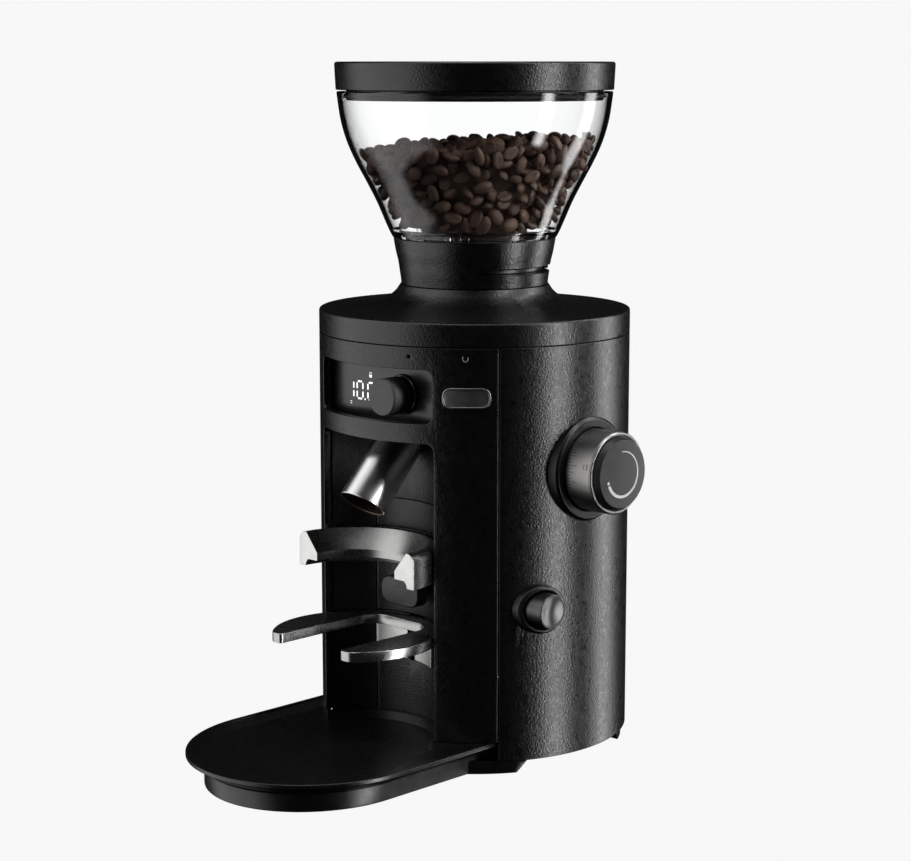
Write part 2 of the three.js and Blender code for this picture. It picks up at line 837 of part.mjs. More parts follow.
function gateDisc() {
  const top = GATE_Z + GATE_T;
  const disc = rod(41.4, GATE_Z, top, FINE).subtract(beanWindows(GATE_Z - 1, top + 1));
  const tab = prism(roundedRectangle(38, -4.5, 50.5, 4.5, 2), GATE_Z, top, 4);
  return disc.add(tab.rotate([0, 0, GATE_TAB_DEG - 90]));
}

// Outer radius of the clear bowl at a height, from its spigot to its rim.
const BOWL_OUTLINE = [
  [49.8, 311.7],
  [53.6, 319.5],
  [59.4, 333.0],
  [69.0, 351.3],
  [76.2, 366.5],
  [80.6, 380.2],
  [82.6, 391.5],
  [83.3, BOWL_TOP_Z],
];

function hopperBowl() {
  const inside = BOWL_OUTLINE.slice(1)
    .filter((_, i) => i % 2 === 0)
    .map(([r, z]) => [r - BOWL_T, z])
    .reverse();
  const spigot = [[45.8, 313], [42.6, 313], [42.6, 304.6], [44.6, 304.6], [45.9, COLLAR_TOP_Z + GAP]];
  return turned([...BOWL_OUTLINE, ...inside, ...spigot.slice(1)], FINE);
}

function hopperLid() {
  const [low, high] = LID_Z;
  const outline = [
    [0, high],
    [83.2, high],
    [84.6, high - 1.4],
    [83.7, low],
    [77.6, low],
    [77.6, 394],
    [75.2, 394],
    [75.2, high - 3],
    [0, high - 3],
  ];
  return turned(outline, FINE);
}

function lidSeal() {
  return ring(79.2, 77.9, 395.2, 397.8, FINE);
}

// ---- Materials and assembly ----

const material = (color, roughness, metalness, extra = {}) =>
  new THREE.MeshStandardMaterial({ color, roughness, metalness, ...extra });

const MATERIALS = {
  grainedBlack: () => material(0x18181a, 0.5, 0.1),
  smoothBlack: () => material(0x101011, 0.4, 0.1),
  glossBlack: () => material(0x060607, 0.08, 0),
  rubber: () => material(0x121212, 0.9, 0),
  steel: () => material(0xb8b9ba, 0.25, 1),
  aluminium: () => material(0x9c9d9f, 0.4, 1),
  castMetal: () => material(0x6d6f72, 0.6, 0.8),
  board: () => material(0x1f5a34, 0.6, 0),
  clear: () => material(0xf0f4f4, 0.05, 0, { transparent: true, opacity: 0.25 }),
};

const grinder = new THREE.Group();

function place(name, made, finish) {
  const raw = made.getMesh();
  const geometry = new THREE.BufferGeometry();
  geometry.setAttribute("position", new THREE.BufferAttribute(raw.vertProperties, 3));
  geometry.setIndex(new THREE.BufferAttribute(raw.triVerts, 1));
  geometry.computeVertexNormals();
  const mesh = new THREE.Mesh(geometry, MATERIALS[finish]());
  mesh.name = name;
  grinder.add(mesh);
}

place("base_plate", basePlate(), "smoothBlack");
FEET.forEach((at, i) => place(`foot_${i + 1}`, foot(at), "rubber"));
place("tray", tray(), "smoothBlack");
place("body_shell", bodyShell(), "grainedBlack");
place("front_panel", frontPanel(), "grainedBlack");
place("badge", badge(), "aluminium");
place("recess_liner", recessLiner(), "grainedBlack");
place("rail_lower", railLower(), "grainedBlack");
place("fork_block", forkBlock(), "grainedBlack");
place("rail_middle", railMiddle(), "grainedBlack");
place("rail_top", railTop(), "grainedBlack");
place("fork_upper", forkUpper(), "steel");
place("fork_lower", forkLower(), "steel");
place("fork_nut", forkNut(), "steel");
place("switch_pad", switchPad(), "grainedBlack");
place("spout", spout(), "steel");
place("deck", deck(), "castMetal");
POSTS.forEach((at, i) => place(`post_${i + 1}`, post(at), "aluminium"));
place("motor_body", motorBody(), "castMetal");
place("motor_shaft", motorShaft(), "steel");
place("grind_chamber", grindChamber(), "castMetal");
place("lower_burr", lowerBurr(), "steel");
place("upper_burr", upperBurr(), "steel");
place("lower_carrier", lowerCarrier(), "castMetal");
place("upper_carrier", upperCarrier(), "castMetal");
place("burr_nut", burrNut(), "steel");
place("adjust_ring", adjustRing(), "castMetal");
place("transfer_shaft", transferShaft(), "steel");
place("gear_bracket", gearBracket(), "castMetal");
place("knob_shaft", knobShaft(), "steel");
place("knob_ring", knobRing(), "smoothBlack");
place("dial_knob", dialKnob(), "aluminium");
place("dial_cap", dialCap(), "smoothBlack");
place("button_ring", buttonRing(), "smoothBlack");
place("side_button", sideButton(), "aluminium");
place("button_switch", buttonSwitch(), "smoothBlack");
place("display_frame", displayFrame(), "smoothBlack");
place("display_glass", displayGlass(), "glossBlack");
place("display_board", displayBoard(), "board");
place("encoder_body", encoderBody(), "aluminium");
place("encoder_shaft", encoderShaft(), "steel");
place("encoder_knob", encoderKnob(), "smoothBlack");
place("control_board", controlBoard(), "board");
place("power_supply", powerSupply(), "smoothBlack");
place("mains_inlet", mainsInlet(), "smoothBlack");
place("top_cover", topCover(), "grainedBlack");
place("bean_throat", beanThroat(), "smoothBlack");
place("hopper_collar", hopperCollar(), "grainedBlack");
place("gate_disc", gateDisc(), "smoothBlack");
place("hopper_bowl", hopperBowl(), "clear");
place("hopper_lid", hopperLid(), "grainedBlack");
place("lid_seal", lidSeal(), "rubber");

export default grinder;
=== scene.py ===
# Burr coffee grinder: the looks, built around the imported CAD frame.
# Helper functions take millimetres in the frame's axes. Meshes are scaled to metres when they become objects.
import math

import bmesh
import bpy
import numpy as np
from mathutils import Matrix, Vector, kdtree


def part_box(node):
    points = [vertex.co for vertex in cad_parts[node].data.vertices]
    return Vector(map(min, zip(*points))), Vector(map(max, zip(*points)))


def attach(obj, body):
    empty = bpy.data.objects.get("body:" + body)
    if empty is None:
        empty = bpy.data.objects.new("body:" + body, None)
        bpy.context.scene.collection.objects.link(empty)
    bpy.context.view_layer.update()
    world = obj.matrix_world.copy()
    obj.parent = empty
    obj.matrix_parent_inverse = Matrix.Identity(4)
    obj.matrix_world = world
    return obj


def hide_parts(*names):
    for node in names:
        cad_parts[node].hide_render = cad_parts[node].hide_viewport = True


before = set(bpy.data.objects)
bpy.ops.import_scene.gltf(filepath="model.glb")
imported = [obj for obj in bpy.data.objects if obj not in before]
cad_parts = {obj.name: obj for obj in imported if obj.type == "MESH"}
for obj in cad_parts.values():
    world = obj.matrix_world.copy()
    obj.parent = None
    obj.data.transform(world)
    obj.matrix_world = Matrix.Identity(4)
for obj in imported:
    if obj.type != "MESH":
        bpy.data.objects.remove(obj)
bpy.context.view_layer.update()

SEED = 7
MM = 0.001


def corners(node):
    """Lowest and highest corner of a CAD node at rest, in millimetres."""
    low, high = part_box(node)
    return low / MM, high / MM


def middle(node):
    low, high = corners(node)
    return (low + high) / 2


# ---- Sizes read from the frame ----

BODY_LOW, BODY_HIGH = corners("body_shell")
PANEL_LOW, PANEL_HIGH = corners("front_panel")
COVER_LOW, COVER_HIGH = corners("top_cover")
COLLAR_LOW, COLLAR_HIGH = corners("hopper_collar")
LID_LOW, LID_HIGH = corners("hopper_lid")
LINER_LOW, LINER_HIGH = corners("recess_liner")
UPPER_LOW, UPPER_HIGH = corners("fork_upper")
LOWER_LOW, LOWER_HIGH = corners("fork_lower")
TRAY_LOW, TRAY_HIGH = corners("tray")
KNOB_LOW, KNOB_HIGH = corners("dial_knob")
CAP_LOW, CAP_HIGH = corners("dial_cap")
BUTTON_LOW, BUTTON_HIGH = corners("side_button")
ENCODER_LOW, ENCODER_HIGH = corners("encoder_knob")
GLASS_LOW, GLASS_HIGH = corners("display_glass")
BODY_R = BODY_HIGH.x
PANEL_T = 4.5
SHELL_T = 3.0
BAY_Y = UPPER_LOW.y
FORK_R = UPPER_HIGH.x
BAY_R = FORK_R + 1.6
DIAL_Z = middle("dial_knob").z
BUTTON_AT = middle("side_button")
ENCODER_AT = middle("encoder_knob")
SEAM_GAP = 0.3


# ---- Outlines ----

def arc(x, y, radius, start, end, steps=12):
    """Points of an arc, its angles in degrees."""
    turns = np.radians(np.linspace(start, end, steps + 1))
    return [(x + radius * math.cos(t), y + radius * math.sin(t)) for t in turns]


def rounded(points, radius, steps=5):
    """A closed outline with each corner rounded. radius is one number or one for each corner."""
    count = len(points)
    radii = radius if isinstance(radius, (list, tuple)) else [radius] * count
    result = []
    for i in range(count):
        before = Vector(points[i - 1])
        corner = Vector(points[i])
        after = Vector(points[(i + 1) % count])
        to_before = before - corner
        to_after = after - corner
        if radii[i] <= 0:
            result.append(tuple(corner))
            continue
        opening = to_before.angle(to_after)
        if opening > math.radians(177):
            result.append(tuple(corner))
            continue
        reach = radii[i] / math.tan(opening / 2)
        limit = 0.48 * min(to_before.length, to_after.length)
        reach = min(reach, limit)
        start = corner + to_before.normalized() * reach
        end = corner + to_after.normalized() * reach
        for k in range(steps + 1):
            t = k / steps
            blend = start * (1 - t) ** 2 + corner * 2 * t * (1 - t) + end * t * t
            result.append(tuple(blend))
    return result


def box_outline(x0, y0, x1, y1, radius, steps=6):
    return rounded([(x0, y0), (x1, y0), (x1, y1), (x0, y1)], radius, steps)


def smooth_line(points, steps=6):
    """A smooth open line through the points, by Catmull-Rom curves."""
    padded = [points[0], *points, points[-1]]
    result = []
    for i in range(1, len(padded) - 2):
        p0, p1, p2, p3 = (Vector(p) for p in padded[i - 1:i + 3])
        for k in range(steps):
            t = k / steps
            result.append(tuple(0.5 * (
                2 * p1 + (p2 - p0) * t
                + (2 * p0 - 5 * p1 + 4 * p2 - p3) * t * t
                + (3 * p1 - p0 - 3 * p2 + p3) * t * t * t
            )))
    result.append(tuple(points[-1]))
    return result


# ---- Meshes, in millimetres ----

def mesh_from(points, faces):
    bm = bmesh.new()
    verts = [bm.verts.new(p) for p in points]
    for face in faces:
        loop = [verts[i] for i in face]
        if len(set(loop)) > 2:
            bm.faces.new(loop)
    return bm


def clean(bm, distance=1e-4):
    bmesh.ops.remove_doubles(bm, verts=bm.verts, dist=distance)
    bmesh.ops.dissolve_degenerate(bm, edges=bm.edges, dist=distance)
    bmesh.ops.recalc_face_normals(bm, faces=bm.faces)
    return bm


def lathe(outline, steps=160, start=0.0, sweep=360.0):
    """A closed (radius, height) outline turned about Z. Bearing 0 is -Y and grows towards +X."""
    whole = sweep >= 360
    turns = steps if whole else steps + 1
    count = len(outline)
    points = []
    for i in range(turns):
        t = math.radians(start + sweep * i / steps)
        points += [(r * math.sin(t), -r * math.cos(t), z) for r, z in outline]
    faces = []
    for i in range(steps):
        a = i * count
        b = ((i + 1) % turns) * count
        for k in range(count):
            n = (k + 1) % count
            faces.append((a + k, b + k, b + n, a + n))
    if not whole:
        faces.append(tuple(range(count)))
        faces.append(tuple(reversed(range(steps * count, steps * count + count))))
    return clean(mesh_from(points, faces))


def plate(outline, low, high, bevel=0.0, holes=(), bevel_steps=2):
    """A flat outline with holes raised from z = low to z = high, all its edges rounded."""
    curve = bpy.data.curves.new("plate_outline", "CURVE")
    curve.dimensions = "2D"
    curve.fill_mode = "BOTH"
    curve.extrude = (high - low) / 2 - bevel
    curve.bevel_depth = bevel
    curve.bevel_resolution = bevel_steps if bevel else 0
    curve.offset = -bevel
    for points in (outline, *holes):
        spline = curve.splines.new("POLY")
        spline.points.add(len(points) - 1)
        for point, (x, y) in zip(spline.points, points):
            point.co = (x, y, 0, 1)
        spline.use_cyclic_u = True
    holder = bpy.data.objects.new("plate_holder", curve)
    bpy.context.scene.collection.objects.link(holder)
    made = bpy.data.meshes.new_from_object(holder.evaluated_get(bpy.context.evaluated_depsgraph_get()))
    bm = bmesh.new()
    bm.from_mesh(made)
    bpy.data.objects.remove(holder)
    bpy.data.curves.remove(curve)
    bpy.data.meshes.remove(made)
    bmesh.ops.translate(bm, verts=bm.verts, vec=(0, 0, (low + high) / 2))
    return clean(bm, 1e-3)


def move(bm, x=0.0, y=0.0, z=0.0):
    bmesh.ops.translate(bm, verts=bm.verts, vec=(x, y, z))
    return bm


def turn(bm, degrees, axis="Z"):
    bmesh.ops.rotate(bm, verts=bm.verts, matrix=Matrix.Rotation(math.radians(degrees), 3, axis))
    return bm


def reshape(bm, rule):
    """Moves every vertex to rule(x, y, z)."""
    for vert in bm.verts:
        vert.co = rule(*vert.co)
    bm.normal_update()
    return bm


def along_x(bm):
    """A piece made along +Z laid along +X: its x becomes y and its y becomes z."""
    return reshape(bm, lambda x, y, z: (z, x, y))


def along_front(bm):
    """A piece made along +Z laid along -Y: its x stays and its y becomes z."""
    return reshape(bm, lambda x, y, z: (x, -z, y))


def together(*parts):
    """Several meshes as one, the later ones emptied."""
    for other in parts[1:]:
        scratch = bpy.data.meshes.new("scratch")
        other.to_mesh(scratch)
        parts[0].from_mesh(scratch)
        bpy.data.meshes.remove(scratch)
        other.free()
    return parts[0]


def slice_x(bm, low, high, step):
    """Cuts a flat mesh across x, so that it bends smoothly."""
    x = low + step
    while x < high:
        geometry = bm.verts[:] + bm.edges[:] + bm.faces[:]
        bmesh.ops.bisect_plane(bm, geom=geometry, dist=1e-4, plane_co=(x, 0, 0), plane_no=(1, 0, 0))
        x += step
    return bm


def wrapped(outline, radius, near, far, bevel, holes=(), degrees_per_step=2.0, centre_y=0.0, back=False):
    """A plate bent round a vertical axis. Its outline is (arc length, height), its walls run from near to far
    past the radius. back=False faces the front of the object, back=True lies behind its axis."""
    bm = plate(outline, near, far, bevel, holes)
    xs = [vert.co.x for vert in bm.verts]
    slice_x(bm, min(xs), max(xs), radius * math.radians(degrees_per_step))
    side = 1 if back else -1

    def bend(x, y, z):
        t = x / radius
        r = radius + z
        return r * math.sin(t), centre_y + side * r * math.cos(t), y

    reshape(bm, bend)
    bmesh.ops.recalc_face_normals(bm, faces=bm.faces)
    return bm


def as_object(bm, name):
    mesh = bpy.data.meshes.new(name)
    bm.to_mesh(mesh)
    bm.free()
    made = bpy.data.objects.new(name, mesh)
    bpy.context.scene.collection.objects.link(made)
    return made


def combine(bm, cutter, operation="DIFFERENCE"):
    """Cuts one mesh with another, or keeps what they share."""
    body = as_object(bm, "combine_body")
    tool = as_object(cutter, "combine_tool")
    modifier = body.modifiers.new("cut", "BOOLEAN")
    modifier.operation = operation
    modifier.solver = "EXACT"
    modifier.object = tool
    return baked(body, tool)


def baked(body, *extra):
    """The mesh of an object with its modifiers applied. The objects are removed."""
    graph = bpy.context.evaluated_depsgraph_get()
    graph.update()
    made = bpy.data.meshes.new_from_object(body.evaluated_get(graph))
    bm = bmesh.new()
    bm.from_mesh(made)
    bpy.data.meshes.remove(made)
    for item in (body, *extra):
        data = item.data
        bpy.data.objects.remove(item)
        bpy.data.meshes.remove(data)
    return bm


def bevelled(bm, width, steps=2, angle=40):
    """Rounds the edges sharper than the angle."""
    body = as_object(bm, "bevel_body")
    modifier = body.modifiers.new("bevel", "BEVEL")
    modifier.width = width
    modifier.segments = steps
    modifier.limit_method = "ANGLE"
    modifier.angle_limit = math.radians(angle)
    modifier.miter_outer = "MITER_ARC"
    return clean(baked(body), 1e-3)


def piece(name, bm, body, material, replaces=(), sharp=32, inner=None):
    """Turns a mesh into a finished piece that rides on a body."""
    bmesh.ops.scale(bm, verts=bm.verts, vec=(MM, MM, MM))
    made = as_object(bm, name)
    made.data.materials.append(material)
    if inner:
        made.data.materials.append(inner)
    made.data.shade_smooth()
    made.data.set_sharp_from_angle(angle=math.radians(sharp))
    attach(made, body)
    if replaces:
        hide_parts(*replaces)
    return made


# ---- Materials ----

def calculate(tree, operation, first, second=0.0):
    """A math node's result. Each input is a number or a socket."""
    node = tree.nodes.new("ShaderNodeMath")
    node.operation = operation
    for socket, value in zip(node.inputs, (first, second)):
        if isinstance(value, (int, float)):
            socket.default_value = value
        else:
            tree.links.new(value, socket)
    return node.outputs[0]


class Nodes:
    """A small wrapper that adds nodes to a material and links them."""

    def __init__(self, name):
        self.material = bpy.data.materials.new(name)
        self.material.use_nodes = True
        self.tree = self.material.node_tree
        self.shader = self.tree.nodes["Principled BSDF"]
        self.place = self.add("ShaderNodeTexCoord").outputs["Object"]

    def add(self, kind, **settings):
        node = self.tree.nodes.new(kind)
        for key, value in settings.items():
            setattr(node, key, value)
        return node

    def link(self, source, target):
        self.tree.links.new(source, target)

    def set(self, **values):
        for key, value in values.items():
            self.shader.inputs[key.replace("_", " ")].default_value = value

    def stretched(self, scale, place=None):
        node = self.add("ShaderNodeMapping")
        node.inputs["Scale"].default_value = scale
        self.link(place or self.place, node.inputs["Vector"])
        return node.outputs["Vector"]

    def noise(self, size_mm, detail=3.0, roughness=0.5, place=None):
        """Noise whose features are about size_mm across, from 0 to 1."""
        node = self.add("ShaderNodeTexNoise")
        node.inputs["Scale"].default_value = 1 / (size_mm * MM)
        node.inputs["Detail"].default_value = detail
        node.inputs["Roughness"].default_value = roughness
        self.link(place or self.place, node.inputs["Vector"])
        return node.outputs["Fac"]

    def cells(self, size_mm):
        """Distance to the middle of the nearest of many cells, each about size_mm across."""
        node = self.add("ShaderNodeTexVoronoi", feature="F1")
        node.inputs["Scale"].default_value = 1 / (size_mm * MM)
        self.link(self.place, node.inputs["Vector"])
        return node.outputs["Distance"]

    def spread(self, value, low, high, source_low=0.3, source_high=0.7):
        node = self.add("ShaderNodeMapRange")
        node.inputs["From Min"].default_value = source_low
        node.inputs["From Max"].default_value = source_high
        node.inputs["To Min"].default_value = low
        node.inputs["To Max"].default_value = high
        self.link(value, node.inputs["Value"])
        return node.outputs["Result"]

    def colours(self, value, first, second):
        node = self.add("ShaderNodeMix", data_type="RGBA")
        self.link(value, node.inputs["Factor"])
        node.inputs[6].default_value = (*first, 1)
        node.inputs[7].default_value = (*second, 1)
        return node.outputs[2]

    def bump(self, height, depth_mm, strength=1.0):
        node = self.add("ShaderNodeBump")
        node.inputs["Strength"].default_value = strength
        node.inputs["Distance"].default_value = depth_mm * MM
        self.link(height, node.inputs["Height"])
        self.link(node.outputs["Normal"], self.shader.inputs["Normal"])

    def colour_of(self, value, first, second):
        self.link(self.colours(value, first, second), self.shader.inputs["Base Color"])

    def roughness_of(self, value, low, high):
        self.link(self.spread(value, low, high), self.shader.inputs["Roughness"])


def grained(name, grey, rough, grain_mm=1.0, depth_mm=0.16):
    """Black moulding or powder coat with a fine leathery grain."""
    nodes = Nodes(name)
    nodes.bump(nodes.noise(grain_mm, 0.0), depth_mm)
    cloud = nodes.noise(24, 4.0)
    nodes.colour_of(cloud, (grey * 0.85,) * 3, (grey * 1.2, grey * 1.2, grey * 1.23))
    nodes.roughness_of(nodes.noise(3.5, 3.0), rough - 0.05, rough + 0.06)
    nodes.set(IOR=1.5)
    return nodes.material


def smooth_plastic(name, grey, rough, grain_mm=0.35, depth_mm=0.006, coat=0.0):
    nodes = Nodes(name)
    nodes.bump(nodes.noise(grain_mm, 3.0), depth_mm)
    cloud = nodes.noise(18, 4.0)
    nodes.colour_of(cloud, (grey * 0.8,) * 3, (grey * 1.25,) * 3)
    nodes.roughness_of(nodes.noise(5.0, 5.0, 0.65), rough - 0.05, rough + 0.06)
    nodes.set(Coat_Weight=coat, Coat_Roughness=0.06)
    return nodes.material


def metal(name, colour, rough, spread=0.05, stretch=(1, 1, 1), brush_mm=0.25, depth_mm=0.004):
    """Satin metal. stretch squeezes the brushing, so that it runs along the axes with small numbers."""
    nodes = Nodes(name)
    brushed = nodes.noise(brush_mm, 3.0, 0.6, nodes.stretched(stretch))
    nodes.bump(brushed, depth_mm)
    nodes.roughness_of(nodes.noise(4.0, 4.0), rough - spread, rough + spread)
    dim = tuple(c * 0.9 for c in colour)
    nodes.colour_of(nodes.noise(9.0, 3.0), dim, colour)
    nodes.set(Metallic=1.0)
    return nodes.material


def dark_inside_steel():
    """The spout's inside: a darker, brownish, mottled metal."""
    nodes = Nodes("dark_inside_steel")
    inner_tone = nodes.noise(3.0, 5.0, 0.6)
    nodes.colour_of(inner_tone, (0.05, 0.034, 0.024), (0.15, 0.115, 0.09))
    nodes.roughness_of(inner_tone, 0.3, 0.5)
    nodes.bump(nodes.noise(0.6, 4.0), 0.02)
    nodes.set(Metallic=0.8)
    return nodes.material


def clear_plastic():
    nodes = Nodes("clear_plastic")
    waves = nodes.noise(30, 2.0)
    nodes.bump(waves, 0.02)
    nodes.link(nodes.spread(nodes.noise(12, 4.0), 0.0, 0.03), nodes.shader.inputs["Roughness"])
    nodes.set(Base_Color=(0.985, 0.99, 0.99, 1), Transmission_Weight=1.0, IOR=1.47)
    path = nodes.add("ShaderNodeLightPath")
    veil = nodes.add("ShaderNodeBsdfTransparent")
    mix = nodes.add("ShaderNodeMixShader")
    nodes.link(path.outputs["Is Shadow Ray"], mix.inputs[0])
    nodes.link(nodes.shader.outputs[0], mix.inputs[1])
    nodes.link(veil.outputs[0], mix.inputs[2])
    nodes.link(mix.outputs[0], nodes.tree.nodes["Material Output"].inputs["Surface"])
    return nodes.material


def rubber():
    nodes = Nodes("rubber_black")
    nodes.bump(nodes.noise(0.5, 4.0), 0.02)
    nodes.colour_of(nodes.noise(6, 4.0), (0.012,) * 3, (0.022,) * 3)
    nodes.roughness_of(nodes.noise(2.0, 4.0), 0.75, 0.9)
    return nodes.material


def display_gloss():
    nodes = Nodes("display_gloss")
    nodes.colour_of(nodes.noise(14, 3.0), (0.004,) * 3, (0.007, 0.007, 0.008))
    nodes.roughness_of(nodes.noise(7.0, 5.0, 0.7), 0.26, 0.30)
    nodes.bump(nodes.noise(25, 2.0), 0.01)
    return nodes.material


def lamp(name, strength, colour=(1, 1, 1)):
    """A lit segment of the display, its glow a little uneven."""
    nodes = Nodes(name)
    nodes.set(Base_Color=(0.02, 0.02, 0.02, 1), Roughness=0.4)
    glow = nodes.noise(2.0, 2.0)
    dim = tuple(c * 0.85 for c in colour)
    nodes.link(nodes.colours(glow, dim, colour), nodes.shader.inputs["Emission Color"])
    nodes.set(Emission_Strength=strength)
    return nodes.material


def paint(name, grey, rough=0.5):
    nodes = Nodes(name)
    nodes.colour_of(nodes.noise(1.2, 4.0), (grey * 0.85,) * 3, (grey,) * 3)
    nodes.roughness_of(nodes.noise(0.8, 3.0), rough - 0.05, rough + 0.05)
    nodes.bump(nodes.noise(0.3, 2.0), 0.004)
    return nodes.material


def roasted():
    """Coffee beans: each has its own shade, with fine wrinkles and a dull oily sheen."""
    nodes = Nodes("roasted_bean")
    shade = nodes.add("ShaderNodeAttribute", attribute_name="bean_shade")
    mottle = calculate(nodes.tree, "MULTIPLY", nodes.noise(1.6, 5.0, 0.65), 0.5)
    offset = calculate(nodes.tree, "SUBTRACT", mottle, 0.25)
    value = calculate(nodes.tree, "ADD", shade.outputs["Fac"], offset)
    nodes.colour_of(value, (0.036, 0.0195, 0.0125), (0.130, 0.072, 0.047))
    nodes.roughness_of(nodes.noise(1.2, 3.0), 0.42, 0.58)
    nodes.bump(nodes.noise(0.9, 5.0, 0.6, nodes.stretched((1, 1, 1.6))), 0.12, 0.8)
    return nodes.material


def circuit_green():
    nodes = Nodes("circuit_green")
    nodes.colour_of(nodes.cells(3.0), (0.01, 0.08, 0.03), (0.02, 0.14, 0.05))
    nodes.roughness_of(nodes.noise(2.0), 0.35, 0.5)
    nodes.bump(nodes.cells(2.2), 0.05)
    return nodes.material


def cast():
    nodes = Nodes("cast_alloy")
    nodes.bump(nodes.noise(0.8, 5.0, 0.6), 0.04)
    nodes.colour_of(nodes.noise(5, 4.0), (0.30, 0.31, 0.32), (0.45, 0.46, 0.47))
    nodes.roughness_of(nodes.noise(2.0, 4.0), 0.5, 0.65)
    nodes.set(Metallic=1.0)
    return nodes.material


GRAINED = grained("grained_black", 0.002, 0.31, 1.1, 0.13)
GRAINED_PLASTIC = grained("grained_plastic_black", 0.002, 0.31, 1.1, 0.13)
GRAINED_FINE = grained("grained_fine_black", 0.002, 0.36, 1.0, 0.14)
SATIN = smooth_plastic("satin_black", 0.003, 0.34)
TRAY_SATIN = smooth_plastic("tray_satin_black", 0.003, 0.30, 0.5, 0.012)
SOFT = smooth_plastic("soft_black", 0.007, 0.40, 0.6, 0.006)
GLOSS = display_gloss()
ENCODER_SATIN = smooth_plastic("encoder_satin", 0.035, 0.5, 0.6, 0.008)
STEEL = metal("satin_steel", (0.36, 0.357, 0.352), 0.28, 0.02, (1, 1, 3), 0.5, 0.0005)
BLASTED = metal("blasted_steel", (0.60, 0.595, 0.58), 0.44, 0.04, (1, 1, 1), 0.5, 0.02)
POLISHED = metal("polished_steel", (0.62, 0.62, 0.625), 0.24, 0.02, (3, 1, 1), 0.6, 0.0008)
# Darker, brownish, mottled metal for the spout's inner faces.
DARK_INSIDE_STEEL = dark_inside_steel()
TURNED = metal("turned_alloy", (0.27, 0.265, 0.26), 0.36, 0.03, (3, 1, 1), 0.4, 0.004)
BRIGHT = metal("bright_rim", (0.42, 0.42, 0.415), 0.30, 0.03, (1, 1, 1), 0.6, 0.002)
DARK_METAL = metal("dark_anodised", (0.085, 0.085, 0.087), 0.34, 0.03, (3, 1, 1), 0.5, 0.004)
BADGE_METAL = metal("badge_alloy", (0.36, 0.36, 0.37), 0.36, 0.05, (1, 1, 6), 0.25, 0.006)
PLAIN_STEEL = metal("plain_steel", (0.55, 0.55, 0.56), 0.33)
CAST = cast()
CLEAR = clear_plastic()
RUBBER = rubber()
COLLAR_GLOSS = smooth_plastic("collar_gloss", 0.01, 0.16, 0.8, 0.004, 0.5)
GREEN = circuit_green()
WHITE_INK = paint("white_ink", 0.72)
# Light grey for the open ring mark: a painted highlight on the raised ring, not its own colour.
HIGHLIGHT_GREY_PAINT = paint("painted_highlight_grey", 0.22)
DARK_INK = paint("dark_ink", 0.012)
LIT = lamp("lit_segment", 1.6, (0.95, 0.97, 1.0))
GHOST = lamp("ghost_segment", 0.012)
BEAN = roasted()


# ---- Base, feet and tray ----

BASE_LOW, BASE_HIGH = corners("base_plate")
TONGUE_HALF = 61.9
TRAY_ARC_Y = -134.0
TRAY_HALF = TRAY_HIGH.x
TRAY_STRETCH = (TRAY_ARC_Y - TRAY_LOW.y) / TRAY_HALF


def tray_plan(half, reach, back_y, steps=64):
    """Straight sides that end in half an ellipse at the front, anticlockwise from the back left."""
    front = [
        (half * math.cos(t), TRAY_ARC_Y + reach * math.sin(t))
        for t in np.linspace(math.pi, 2 * math.pi, steps)
    ]
    return [(-half, back_y), *front, (half, back_y)]


def build_base():
    tongue = plate(tray_plan(TONGUE_HALF, TRAY_ARC_Y - BASE_LOW.y, -50), BASE_LOW.z, BASE_HIGH.z, 0.9)
    plinth_r = 92.3
    plinth_top = BODY_LOW.z - SEAM_GAP
    side = [(0, BASE_LOW.z), (plinth_r, BASE_LOW.z), (plinth_r, plinth_top), (0, plinth_top)]
    plinth = lathe(rounded(side, 0.6))
    foot_end = 46.0
    slope = 6.0
    arch = [(-foot_end, -1), (-foot_end, BASE_LOW.z), (slope - foot_end, plinth_top - 0.4),
            (foot_end - slope, plinth_top - 0.4), (foot_end, BASE_LOW.z), (foot_end, -1)]
    tunnel = along_x(plate(arch, -120, 120))
    plinth = bevelled(combine(plinth, tunnel), 0.5)
    piece("base_tongue", tongue, "housing", SATIN, ["base_plate"])
    piece("base_plinth", plinth, "housing", SATIN)


def build_feet():
    for number in range(1, 5):
        name = f"foot_{number}"
        low, high = corners(name)
        radius = (high.x - low.x) / 2
        groove = radius * 0.55
        outline = rounded([(0, 0), (groove, 0), (groove + 0.4, 0.5), (groove + 1.4, 0.5), (groove + 1.8, 0),
                           (radius, 0), (radius, high.z), (0, high.z)], 0.3, 3)
        at = (low + high) / 2
        piece(f"foot_pad_{number}", move(lathe(outline, 48), at.x, at.y), "housing", RUBBER, [name])


def stretched_ring(outline, back_y):
    """A tray profile carried round the front and back along both sides, as one closed solid."""
    steps = 72
    last = steps + 2
    points = []
    for i in range(last + 1):
        if i in (0, last):
            side = 1 if i == 0 else -1
            points += [(side * r, back_y, z) for r, z in outline]
            continue
        t = math.pi * (i - 1) / steps
        points += [(r * math.cos(t), TRAY_ARC_Y - r * TRAY_STRETCH * math.sin(t), z) for r, z in outline]
    count = len(outline)
    faces = []
    for i in range(last):
        for k in range(count - 1):
            a = i * count + k
            faces.append((a, a + 1, a + 1 + count, a + count))
    seam = [k for k in range(count)] + [last * count + k for k in reversed(range(count))]
    faces.append(tuple(reversed(seam)))
    return clean(mesh_from(points, faces), 1e-3)


